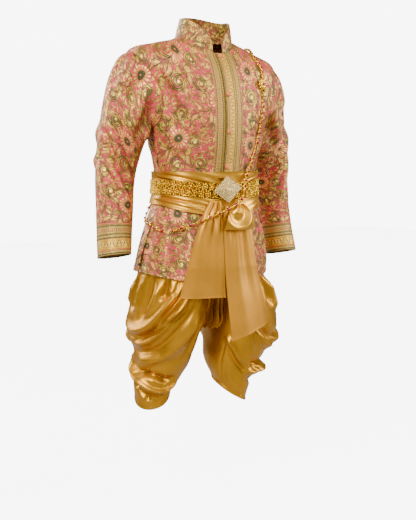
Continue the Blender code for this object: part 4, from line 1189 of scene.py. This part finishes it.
def tuck(x, y, z):
    """Keeps the top of the trousers inside the jacket."""
    weight = smooth(0.640, 0.685, z)
    row = np.maximum(z + 0.033 * (1.0 - smooth(0.74, 0.86, z)), HEM_ROW)
    half, side_y, _, front_y, _, back_y, _, n = columns(BODY_ROWS, row)
    depth = np.where(y < side_y, side_y - front_y, back_y - side_y) - TUCK_GAP
    reach = (np.abs(x) / (half - TUCK_GAP)) ** n + (np.abs(y - side_y) / depth) ** n
    shrink = 1.0 + (np.maximum(reach, 1e-9) ** (-1.0 / n) - 1.0) * weight
    shrink = np.where(reach > 1.0, shrink, 1.0)
    return x * shrink, side_y + (y - side_y) * shrink


def edge_turn(side, z, back):
    """Turn at which the leg reaches the strip between the legs."""
    mid_x, _, _, inward, _, _, n = columns(LEG_LEFT_ROWS if side > 0 else LEG_RIGHT_ROWS, z)
    share = np.minimum((mid_x - GUSSET_HALF) / inward, 0.90)
    angle = np.degrees(np.arcsin(share ** (n / 2.0)))
    return 180.0 + angle if back else -angle


LEG_LEVELS = np.concatenate([np.linspace(LEG_BOTTOM, CROTCH, 86)[:-1], np.linspace(CROTCH, 0.72, 70)[:-1],
                             np.linspace(0.72, LEG_TOP, 14)])
LEG_CROTCH = int(np.argmin(np.abs(LEG_LEVELS - CROTCH)))
LEG_OUTER = 176
LEG_INNER = 34
FORM_LEVELS = 21.0          # levels of the form that the strips' bow is counted in
STRIP_GAP = 0.0018          # between a strip and the leg beside it


def on_leg(turn, height):
    return math.radians(turn) * LEG_ROUND, height / 1000.0


def leg_surface(side):
    """Outer face of one leg, with its folds, and the relief of its stitched hem; column 0 is the front edge
    of the strip.
    """
    z = LEG_LEVELS[:, None]
    start = edge_turn(side, z, False)
    end = edge_turn(side, z, True)
    outer = start + (end - start) * np.linspace(0.0, 1.0, LEG_OUTER)[None, :]
    inner = end + (360.0 + start - end) * np.linspace(0.0, 1.0, LEG_INNER + 1)[None, 1:-1]
    turn = np.concatenate([outer, inner], axis=1)
    z = np.repeat(z, turn.shape[1], axis=1)
    level = z - (1.0 - smooth(LEG_BOTTOM, 0.46, z)) * HEM_TILT * np.cos(np.radians(turn - HEM_LOW_TURN))
    if side > 0:
        level = level + LEFT_HEM_LIFT * (1.0 - smooth(LEG_BOTTOM, 0.36, z))
    rows = LEG_LEFT_ROWS if side > 0 else LEG_RIGHT_ROWS
    mid_x, mid_y, outward, inward, front, back, n = columns(rows, z)
    angle = np.radians(turn)
    across = power(np.sin(angle), 2.0 / n)
    along = power(np.cos(angle), 2.0 / n)
    x = mid_x + np.where(across > 0, outward, inward) * across
    y = mid_y - np.where(along > 0, front, back) * along
    off = swag_offset(SWAGS_LEFT if side > 0 else SWAGS_RIGHT, turn, z)
    off = off * (1.0 - smooth(0.60, 0.66, z)) * smooth(0.30, 0.34, z)
    round_turn = np.where(turn > 270.0, turn - 360.0, turn)
    relief = 1.6 * folds(np.radians(round_turn) * LEG_ROUND, level,
                         LEG_LEFT_FOLDS if side > 0 else LEG_RIGHT_FOLDS, on_leg)
    relief = relief + 0.0006 * np.sin(turn * 0.17 + z * 34.0) * np.sin(z * 61.0 - turn * 0.06)
    # flat under the jacket, at the strip between the legs and at the hem
    calm = (1.0 - smooth(0.675, 0.705, z)) * smooth(LEG_BOTTOM + 0.002, LEG_BOTTOM + 0.030, z)
    above = z >= CROTCH - 0.001
    near_edge = np.minimum(np.abs(turn - start), np.abs(end - turn))
    calm = calm * np.where(above | (turn > end), smooth(0.0, 14.0, near_edge), 1.0)
    off = off + relief * calm
    x = x + off * np.sin(angle)
    y = y - off * np.cos(angle)
    x, y = tuck(x, y, z)
    # hem stitched twice
    ridge = np.zeros_like(z)
    for line in (0.010, 0.0155):
        ridge = ridge - 0.0011 * bell(z - LEG_BOTTOM - line, 0.0016)
    ridge = ridge + 0.0007 * bell(z - LEG_BOTTOM - 0.004, 0.004)
    return np.stack([side * x, y, level], axis=-1), ridge


def leg(side):
    grid, ridge = leg_surface(side)
    cols = grid.shape[1]
    if side < 0:
        grid = np.concatenate([grid[:, :1], grid[:, :0:-1]], axis=1)
        ridge = np.concatenate([ridge[:, :1], ridge[:, :0:-1]], axis=1)

    def keep(r, c):
        inner = c >= LEG_OUTER - 1 if side > 0 else c <= cols - LEG_OUTER
        return (r < LEG_CROTCH) | ~inner

    cloth("chong_kraben_leg_left" if side > 0 else "chong_kraben_leg_right", "satin", grid, SATIN,
          wrap=True, keep=keep, relief=ridge)


for side in (-1, 1):
    leg(side)


def strip_edge(side):
    grid, _ = leg_surface(side)
    front = grid[::-1, 0][:len(grid) - LEG_CROTCH]
    under = grid[LEG_CROTCH, :LEG_OUTER - 1:-1]
    rear = grid[LEG_CROTCH:, LEG_OUTER - 1]
    return front, under, rear


def strip(name, right, left, push, pleats, flip):
    """The cloth passed between the legs, pleated and bowed away from them."""
    count = 60
    share = np.linspace(0.0, 1.0, count)
    gap = STRIP_GAP / np.maximum(np.linalg.norm(left - right, axis=1), 0.02)
    f = gap[:, None] + (1.0 - 2.0 * gap[:, None]) * share[None, :]
    grid = right[:, None] + (left - right)[:, None] * f[..., None]
    bow = np.sin(PI * share)
    wave = np.zeros(count)
    for centre, width, height in pleats:
        wave = wave + height * bell(share - centre, width)
    grid = grid + push[:, None] * (bow + wave * np.minimum(1.0, 2.5 * bow))[None, :, None]
    cloth(name, "satin", grid[:, ::-1] if flip else grid[::-1], SATIN)


def strips():
    right = strip_edge(-1)
    left = strip_edge(1)
    half = len(right[1]) // 2
    gap = np.array([0.0, 0.0012, 0.0])
    edges = []
    for front, under, rear in (right, left):
        ahead = np.vstack([front, under[:half]])
        behind = np.vstack([under[half:], rear])
        join = 0.5 * (ahead[-1] + behind[0])
        ahead[-1] = join - gap
        behind[0] = join + gap
        edges.append((ahead, behind))
    count = len(edges[0][0])
    k = (np.arange(count)[::-1] - 1.0) * FORM_LEVELS / len(LEG_LEVELS)
    fall = edges[0][0][:, 2]
    heavy = 1.0 + 0.9 * bell(fall - 0.560, 0.030)
    push = np.array([0.0, -0.012, -0.005])[None, :] * (smooth(-1.0, 4.0, k) * heavy)[:, None]
    strip("chong_kraben_front_swag", edges[0][0], edges[1][0], push,
          ((0.14, 0.045, 0.55), (0.27, 0.05, -0.65), (0.42, 0.055, 0.50), (0.56, 0.05, -0.60),
           (0.70, 0.055, 0.45), (0.84, 0.045, -0.45)), False)
    count = len(edges[0][1])
    k = (np.arange(count) - 1.0) * FORM_LEVELS / len(LEG_LEVELS)
    push = np.array([0.0, 0.013, -0.004])[None, :] * smooth(-1.0, 4.0, k)[:, None]
    strip("chong_kraben_back_tail", edges[0][1], edges[1][1], push,
          ((0.18, 0.06, 0.40), (0.34, 0.06, -0.45), (0.50, 0.06, 0.40), (0.66, 0.06, -0.45),
           (0.82, 0.06, 0.40)), True)


strips()


# ---- sash, knot, tails --------------------------------------------------------------------------
def sash_low(turn):
    """Lower edge of the sash: drops to the knot at the front."""
    near = np.cos(np.radians(np.minimum(np.abs(turn + 8.0), 180.0)))
    return 0.896 - 0.026 * np.maximum(near, 0.0) ** 2


def belt_mid(turn):
    near = np.maximum(np.cos(np.radians(turn)), 0.0)
    return BELT_MID_SIDE + (BELT_MID_FRONT - BELT_MID_SIDE) * near * near


# laps of the wound sash: (height, width above, width below, then the path's points (turn, row))
SASH_UPPER_FOLDS = [
    (3, 10, 3, (-96, 993), (-66, 986), (-38, 974), (-14, 958), (-4, 948)),
    (-2.4, 3, 6, (-92, 987), (-64, 980), (-36, 967), (-12, 951)),
    (2.6, 8, 2.8, (-100, 980), (-74, 974), (-48, 963), (-24, 950)),
    (-2, 3, 5, (-96, 974), (-72, 968), (-46, 957)),
    (2.2, 9, 3, (-40, 990), (-20, 982), (-2, 970), (12, 958)),
    (2.6, 8, 3, (96, 988), (66, 982), (38, 972), (18, 960)),
    (-2.2, 3, 6, (92, 982), (64, 976), (38, 966), (20, 954)),
    (2.4, 8, 3, (92, 973), (66, 966), (40, 956)),
    (2.8, 9, 3, (106, 990), (140, 982), (176, 972), (212, 962), (246, 956)),
    (-2.2, 3, 6, (108, 984), (142, 976), (178, 966), (214, 956)),
    (2.4, 8, 3, (120, 968), (156, 962), (190, 956)),
    (2.4, 9, 3, (166, 990), (204, 984), (240, 976), (262, 968)),
]
SASH_LOWER_FOLDS = [
    (3.2, 9, 3, (-98, 914), (-70, 906), (-42, 893), (-20, 878)),
    (-2.4, 3, 6, (-94, 909), (-68, 900), (-42, 887), (-24, 875)),
    (2.8, 8, 3, (-88, 923), (-62, 918), (-36, 907), (-14, 892)),
    (-2.2, 3, 5, (-84, 918), (-60, 912), (-34, 901), (-14, 886)),
    (2.4, 7, 3, (-60, 926), (-38, 920), (-18, 908), (-6, 896)),
    (2.8, 8, 3, (96, 912), (68, 906), (42, 896), (20, 884)),
    (-2.2, 3, 6, (92, 907), (66, 901), (42, 891)),
    (2.4, 8, 3, (90, 922), (62, 916), (38, 906), (16, 894)),
    (2.8, 9, 3, (104, 918), (140, 912), (176, 906), (212, 902), (250, 900)),
    (-2.2, 3, 6, (106, 912), (142, 906), (178, 900), (214, 897)),
    (2.4, 8, 3, (140, 926), (176, 920), (214, 914), (250, 912)),
]


def sash(name, low_of, high_of, rows, phase):
    count = 300
    levels = 26
    turn = np.repeat((-100.0 + 360.0 * np.arange(count) / count)[None, :], levels, axis=0)
    share = np.linspace(0.0, 1.0, levels)[:, None]
    row = low_of(turn) + (high_of(turn) - low_of(turn)) * share
    wave = 0.0007 * np.sin(2.0 * PI * share * 1.5 + 0.9 * np.sin(np.radians(turn + phase)))
    relief = wave + 1.15 * folds(turn * TURN_LENGTH, row, rows, on_body)
    # rolled edges
    relief = relief + 0.0010 * (bell(share, 0.06) + bell(1.0 - share, 0.06))
    relief = relief * smooth(-100.0, -94.0, turn) * (1.0 - smooth(254.0, 259.0, turn))
    grid = off_body(turn, row, SASH_OUTER + np.maximum(relief, -0.0022))
    cloth(name, "satin", grid, SATIN_SASH, thick=SASH_WALL, wrap=True)


sash("sash_wrap_upper", lambda t: belt_mid(t) + 0.001,
     lambda t: 0.992 + 0.0015 * np.sin(np.radians(t * 3.0)), SASH_UPPER_FOLDS, 20.0)
sash("sash_wrap_lower", sash_low, lambda t: belt_mid(t) - 0.001, SASH_LOWER_FOLDS, 90.0)


def hang(x, z, off):
    """A point in front of the jacket; under the hem the cloth falls straight."""
    row = np.maximum(z, 0.72)
    turn = turn_at_x(x, row)
    normal = body_normal(turn, row)
    flat = unit(normal * np.array([1.0, 1.0, 0.0]))
    point = body(turn, row)
    return np.stack([x + off * flat[..., 0] * 0.3, point[..., 1] + off * flat[..., 1], z], axis=-1)


# upright folds of a tail: (height, place across, width, place lower down, how far down it lasts)
TAIL_RIGHT_FOLDS = [
    (0.0060, 0.22, 0.060, 0.10, 0.26), (-0.0030, 0.36, 0.050, 0.26, 0.24), (0.0080, 0.52, 0.070, 0.40, 0.24),
    (-0.0034, 0.66, 0.050, 0.60, 0.22), (0.0105, 0.82, 0.080, 0.76, 0.26), (-0.0026, 0.95, 0.040, 0.93, 0.22),
    (0.0026, 0.30, 0.170, 0.30, 1.60), (-0.0018, 0.62, 0.140, 0.66, 1.60), (0.0016, 0.86, 0.110, 0.88, 1.60),
]
TAIL_LEFT_FOLDS = [
    (0.0046, 0.14, 0.060, 0.10, 0.26), (-0.0030, 0.28, 0.060, 0.22, 0.30), (0.0046, 0.42, 0.070, 0.38, 0.28),
    (-0.0030, 0.58, 0.065, 0.54, 0.30), (0.0044, 0.74, 0.070, 0.70, 0.26), (-0.0024, 0.90, 0.050, 0.88, 0.26),
    (0.0036, 0.34, 0.160, 0.36, 1.60), (-0.0024, 0.60, 0.130, 0.62, 1.60), (0.0020, 0.84, 0.120, 0.86, 1.60),
]


def tail(name, rows, creases, levels, count, slope):
    top = rows[0][0]
    low = rows[-1][0]
    down, share = np.meshgrid(np.linspace(0.0, 1.0, levels), np.linspace(0.0, 1.0, count), indexing="ij")
    z = top + (low - top) * down
    left, right, off = columns([(-height, *rest) for height, *rest in rows], -z)
    x = left + (right - left) * share
    relief = np.zeros_like(x)
    for height, centre, width, lower, lasts in creases:
        middle = centre + (lower - centre) * down
        relief = relief + height * bell(share - middle, width) * bell(down, lasts)
    relief = relief * smooth(-0.10, 0.06, down)
    relief = relief + 0.0005 * (bell(share, 0.02) + bell(1.0 - share, 0.02) + bell(1.0 - down, 0.012))
    drop = slope * share * smooth(0.3, 1.0, down)
    cloth(name, "satin", hang(x, z + drop, off + np.maximum(relief, -0.0024))[::-1], SATIN_TAIL)


tail("sash_tail_right", TAIL_RIGHT_ROWS, TAIL_RIGHT_FOLDS, 110, 84, 0.0)
tail("sash_tail_left", TAIL_LEFT_ROWS, TAIL_LEFT_FOLDS, 140, 90, TAIL_LEFT_SLOPE)


def loop():
    """The flattened loop of the bow: its front layer, the roll at the bottom and the layer behind."""
    levels, count = 96, 80
    at = np.linspace(0.0, len(LOOP_ROWS) - 1.0, levels)
    z, left, right, off = np.repeat(evenly_through(LOOP_ROWS, levels).T[:, :, None], count, axis=2)
    share = np.linspace(0.0, 1.0, count)[None, :]
    x = left + (right - left) * share
    front = 1.0 - smooth(3.5, 5.5, at)[:, None]
    top, low = LOOP_ROWS[0][0], min(row[0] for row in LOOP_ROWS)
    down = (top - z) / (top - low)
    bow = np.sqrt(((share - 0.46) / 0.56) ** 2 + (down / 0.96) ** 2)
    relief = (0.0040 * bell(bow - 0.98, 0.13) - 0.0056 * bell(bow - 0.66, 0.15)
              + 0.0046 * bell(bow - 0.34, 0.11))
    relief = relief + 0.0026 * np.sin(2.0 * PI * (4.0 * share + 0.1)) * bell(down, 0.30)
    sag = -0.0030 * np.sin(PI * share) * smooth(0.3, 1.0, down)
    cloth("sash_loop_left", "satin", hang(x, z + sag, off + relief * front)[::-1], SATIN_SASH)


loop()


# ---- belt ---------------------------------------------------------------------------------------
def clock(centre, normal, radius, count, shift=0.0):
    """Points of a circle about a normal."""
    across, up = square_to(normal)
    for k in range(count):
        a = 2.0 * PI * (k + shift) / count
        yield centre + radius * (math.cos(a) * across + math.sin(a) * up)


def belt():
    count = 260
    turn = -180.0 + 360.0 * np.arange(count) / count
    across = np.array([-1.0, -0.97, -0.90, -0.84, -0.5, 0.0, 0.5, 0.84, 0.90, 0.97, 1.0])
    lift = np.array([-0.0012, 0.0, 0.0, -0.0013, -0.0013, -0.0013, -0.0013, -0.0013, 0.0, 0.0, -0.0012])
    turns = np.repeat(turn[None, :], len(across), axis=0)
    row = belt_mid(turns) + BELT_HALF_HEIGHT * across[:, None]
    off = BELT_BACK + BELT_WALL + np.repeat(lift[:, None], count, axis=1)
    # the plate, seen between the domes, is painted dark brown as their shade
    band = shell("belt_band_plate", off_body(turns, row, off), SHADED_PLATE_GILT, thick=0.0012, wrap=True)
    place(band, "gold", "belt_band")
    work = Parts()

    def spots(count, shift, line, lift=0.0):
        """Places round the belt, with their normals; line is -1 at its lower edge and 1 at its upper."""
        for k in range(count):
            at = 360.0 * (k + shift) / count
            row = float(belt_mid(at)) + BELT_HALF_HEIGHT * line
            yield off_body(at, row, BELT_BACK + BELT_WALL - 0.0015 + lift), body_normal(at, row)

    units = 48
    for line, shift in ((-0.45, 0.0), (0.45, 0.5)):
        for spot, normal in spots(units, shift, line):
            work.dome(spot, normal, 0.0042, 0.0034, sides=10)
            for petal in clock(spot, normal, 0.0072, 7, 0.5):
                work.dome(petal, normal, 0.0029, 0.0028, sides=7)
    for line in (-0.84, 0.0, 0.84):
        for spot, normal in spots(2 * units, 0.5, line):
            work.dome(spot, normal, 0.0023, 0.0024, sides=7)
    for line in (-0.95, 0.95):
        for spot, normal in spots(150, 0.5, line, 0.0004):
            work.dome(spot, normal, 0.0017, 0.0020, sides=6)
    place(work.make("belt_filigree", GILT_SMOOTH), "gold")


belt()


def buckle():
    """Stepped diamond plate standing on its point, its ledges set with small stones."""
    centre = off_body(0.0, BELT_MID_FRONT + 0.004, BELT_BACK + BELT_WALL + BUCKLE_STANDOFF)
    tilt = math.radians(5.0)
    first, rise, steps = 0.0030, 0.0017, 5
    shrink = 0.175
    corners = np.array([(0.0, 1.0), (-1.0, 0.0), (0.0, -1.0), (1.0, 0.0)])

    def spot(across, up, forward):
        x = across * BUCKLE_HALF_WIDTH
        z = up * BUCKLE_HALF_HEIGHT
        return np.array([BUCKLE_MID_X + x * math.cos(tilt) - z * math.sin(tilt), centre[1] - forward,
                         centre[2] + x * math.sin(tilt) + z * math.cos(tilt)])

    work = Parts()
    stones = Parts()
    points = []
    outline = [(1.0, 0.0)]
    for step in range(steps):
        scale = 1.0 - shrink * step
        forward = first + rise * step
        outline += [(scale, forward - 0.0004), (scale - 0.012, forward)]
        if step < steps - 1:
            outline += [(scale - shrink + 0.012, forward)]
    for scale, ahead in outline:
        points += [spot(c[0] * scale, c[1] * scale, ahead) for c in corners]
    last = len(outline) - 1
    work.add(points, [[3, 2, 1, 0]] + tube_quads(last, 4) + [[last * 4 + j for j in range(4)]])
    toward = np.array([0.0, -1.0, 0.0])
    for step in range(steps):
        scale = 1.0 - shrink * (step + 0.45)
        ahead = first + rise * step
        sides = max(int(round(19 * scale)), 2)
        for j in range(4):
            a = corners[j]
            b = corners[(j + 1) % 4]
            for k in range(sides):
                c = (a + (b - a) * (k + 0.5) / sides) * scale
                stones.dome(spot(c[0], c[1], ahead), toward, 0.00115, 0.0011, sides=6)
    stones.dome(spot(0.0, 0.0, forward), toward, 0.0040, 0.0030, sides=10, rings=3)
    place(work.make("belt_buckle_plate", PAVE, 25.0), "pave", "belt_buckle")
    place(stones.make("belt_buckle_stones", CLEAR), "pave")


buckle()


# ---- chain, brooch, buttons ---------------------------------------------------------------------
def evenly(line, normals, gap):
    run = np.concatenate([[0.0], np.cumsum(np.linalg.norm(np.diff(line, axis=0), axis=1))])
    count = max(int(run[-1] / gap), 1)
    at = (np.arange(count) + 0.5) * run[-1] / count
    spots = np.stack([np.interp(at, run, line[:, k]) for k in range(3)], axis=1)
    ways = np.stack([np.interp(at, run, normals[:, k]) for k in range(3)], axis=1)
    return spots, unit(ways)


def chain(name, rows, gap, setting, gem):
    """Flat gold links with a ringed red stone every gap metres."""
    gold = Parts()
    red = Parts()
    turn, row, off = evenly_through(rows, 420).T
    line, normals = off_body(turn, row, off), body_normal(turn, row)
    gold.tube(line[::3] - 0.0006 * normals[::3], 0.0011)
    links, ways = evenly(line, normals, 0.0052)
    for k, (spot, way) in enumerate(zip(links, ways)):
        gold.dome(spot - 0.0012 * way, way, 0.0038 if k % 2 else 0.0029, 0.0028, sides=12, petals=4,
                  depth=0.22)
        gold.dome(spot + 0.0010 * way, way, 0.0014, 0.0016, sides=6, rings=1)
    spots, ways = evenly(line, normals, gap)
    for spot, way in zip(spots, ways):
        gold.dome(spot - 0.0014 * way, way, setting * 1.15, 0.0018, sides=24, petals=8)
        gold.ring(spot + 0.0012 * way, way, gem * 1.04, 0.0005)
        red.dome(spot + 0.0014 * way, way, gem, 0.0040, sides=14, rings=3)
    place(gold.make(name + "_links", GILT_SMOOTH), "gold", name)
    place(red.make(name + "_stones", RUBY), "ruby")


chain("chain_shoulder", CHAIN_SHOULDER_ROWS, 0.0150, 0.0042, 0.0038)
chain("chain_hip", CHAIN_HIP_ROWS, 0.0275, 0.0056, 0.0052)
chain("chain_back", CHAIN_BACK_ROWS, 0.0285, 0.0050, 0.0044)


def brooch():
    gold = Parts()
    red = Parts()
    normal = body_normal(BROOCH_TURN, BROOCH_ROW)
    centre = off_body(BROOCH_TURN, BROOCH_ROW, 0.0072)
    gold.dome(centre, normal, BROOCH_RADIUS * 0.80, 0.0030, sides=40, petals=10, depth=0.05)
    for petal, bead, inner in zip(clock(centre, normal, 0.0120, 10), clock(centre, normal, 0.0166, 10),
                                  clock(centre, normal, 0.0078, 10, 0.5)):
        gold.dome(petal + 0.0008 * normal, normal, 0.0046, 0.0040, sides=12, rings=3)
        gold.dome(bead, normal, 0.0017, 0.0022)
        gold.dome(inner + 0.0028 * normal, normal, 0.0014, 0.0018)
    gold.ring(centre + 0.0042 * normal, normal, 0.0072, 0.0010, sides=28)
    red.dome(centre + 0.0044 * normal, normal, 0.0068, 0.0052, sides=18, rings=4)
    place(gold.make("brooch_flower", GILT_SMOOTH), "gold", "brooch")
    place(red.make("brooch_ruby", RUBY), "ruby", "brooch_stone")


brooch()


def covered():
    net = Net("covered_button_cloth", ROSE, 0.0, 0.5)
    where = net.place()
    weave = net.cells(where, 900.0)
    figure = net.noise(where, 330.0, 2.0)
    colour = net.mix(net.step(figure, 0.52, 0.62), (0.70, 0.105, 0.040), (0.80, 0.36, 0.05))
    colour = net.paint(colour, (0.20, 0.030, 0.010), figure, 0.36, 0.28)
    net.bump(weave + figure, 0.5, 0.0006)
    return net.set(Base_Color=colour, Specular_IOR_Level=0.30)


COVERED = covered()
for number, row in enumerate(BUTTON_ROWS, start=1):
    turn = float(turn_at_x(BUTTON_X, np.array(row)))
    normal = body_normal(turn, row)
    spot = off_body(turn, row, FRONT_LIFT + 0.0012)
    button = Parts()
    button.dome(spot, normal, BUTTON_RADIUS, 0.0046, sides=28, rings=7)
    button.ring(spot + 0.0003 * normal, normal, BUTTON_RADIUS * 1.02, 0.0007, sides=28)
    place(button.make("button_%d_dome" % number, COVERED), "covered_button", "button_%d" % number)


# ---- floor, lights ------------------------------------------------------------------------------
def floor():
    net = Net("floor_paint", (0.93, 0.93, 0.92), 0.0, 0.8)
    grain = net.noise(net.place(), 3.0, 3.0)
    colour = net.mix(grain, (0.33, 0.33, 0.328), (0.35, 0.35, 0.348))
    finish = net.set(Base_Color=colour, Emission_Color=(1.0, 1.0, 1.0), Emission_Strength=net.seen() * 7.0)
    item = mesh_object("floor", [(-9, -9, -MOUNT), (9, -9, -MOUNT), (9, 9, -MOUNT), (-9, 9, -MOUNT)],
                       [(0, 1, 2, 3)], finish)


floor()


def light(name, azimuth, height, away, size, watts):
    """A soft box at a turn about the figure (0 in front of it, 90 at its left), aimed at its waist."""
    a = math.radians(azimuth)
    spot = np.array([math.sin(a) * away, -math.cos(a) * away, height - MOUNT])
    aim = unit(np.array([0.0, 0.0, 0.85 - MOUNT]) - spot)
    right = unit(np.cross(aim, np.array([0.0, 0.0, 1.0])))
    data = bpy.data.lights.new(name, "AREA")
    data.shape = "RECTANGLE"
    data.size, data.size_y = size
    data.energy = watts
    stand(name, data, right, np.cross(right, aim), -aim, spot)


light("key", -60.0, 2.5, 2.9, (1.0, 1.7), 175.0)
light("fill", 4.0, 2.2, 3.2, (0.9, 1.7), 46.0)
light("side", 62.0, 1.9, 2.7, (0.7, 1.7), 96.0)
light("top", 12.0, 3.3, 0.9, (0.9, 0.9), 26.0)
light("back", 188.0, 2.4, 2.9, (1.6, 1.8), 84.0)
light("rear_left", -140.0, 1.9, 2.8, (0.8, 1.8), 52.0)


def studio():
    """A dim sky for its light, behind a bright backdrop that only the camera sees."""
    world = bpy.data.worlds.new("studio")
    world.use_nodes = True
    tree = world.node_tree
    sky = tree.nodes["Background"]
    seen = tree.nodes.new("ShaderNodeBackground")
    for node, colour, strength in ((sky, (0.97, 0.98, 1.0, 1.0), 0.07), (seen, (1.0, 1.0, 1.0, 1.0), 8.0)):
        node.inputs["Color"].default_value = colour
        node.inputs["Strength"].default_value = strength
    pick = tree.nodes.new("ShaderNodeMixShader")
    straight = tree.nodes.new("ShaderNodeLightPath").outputs["Is Camera Ray"]
    for number, socket in enumerate((straight, sky.outputs[0], seen.outputs[0])):
        tree.links.new(socket, pick.inputs[number])
    tree.links.new(pick.outputs[0], tree.nodes["World Output"].inputs[0])
    bpy.context.scene.world = world


studio()
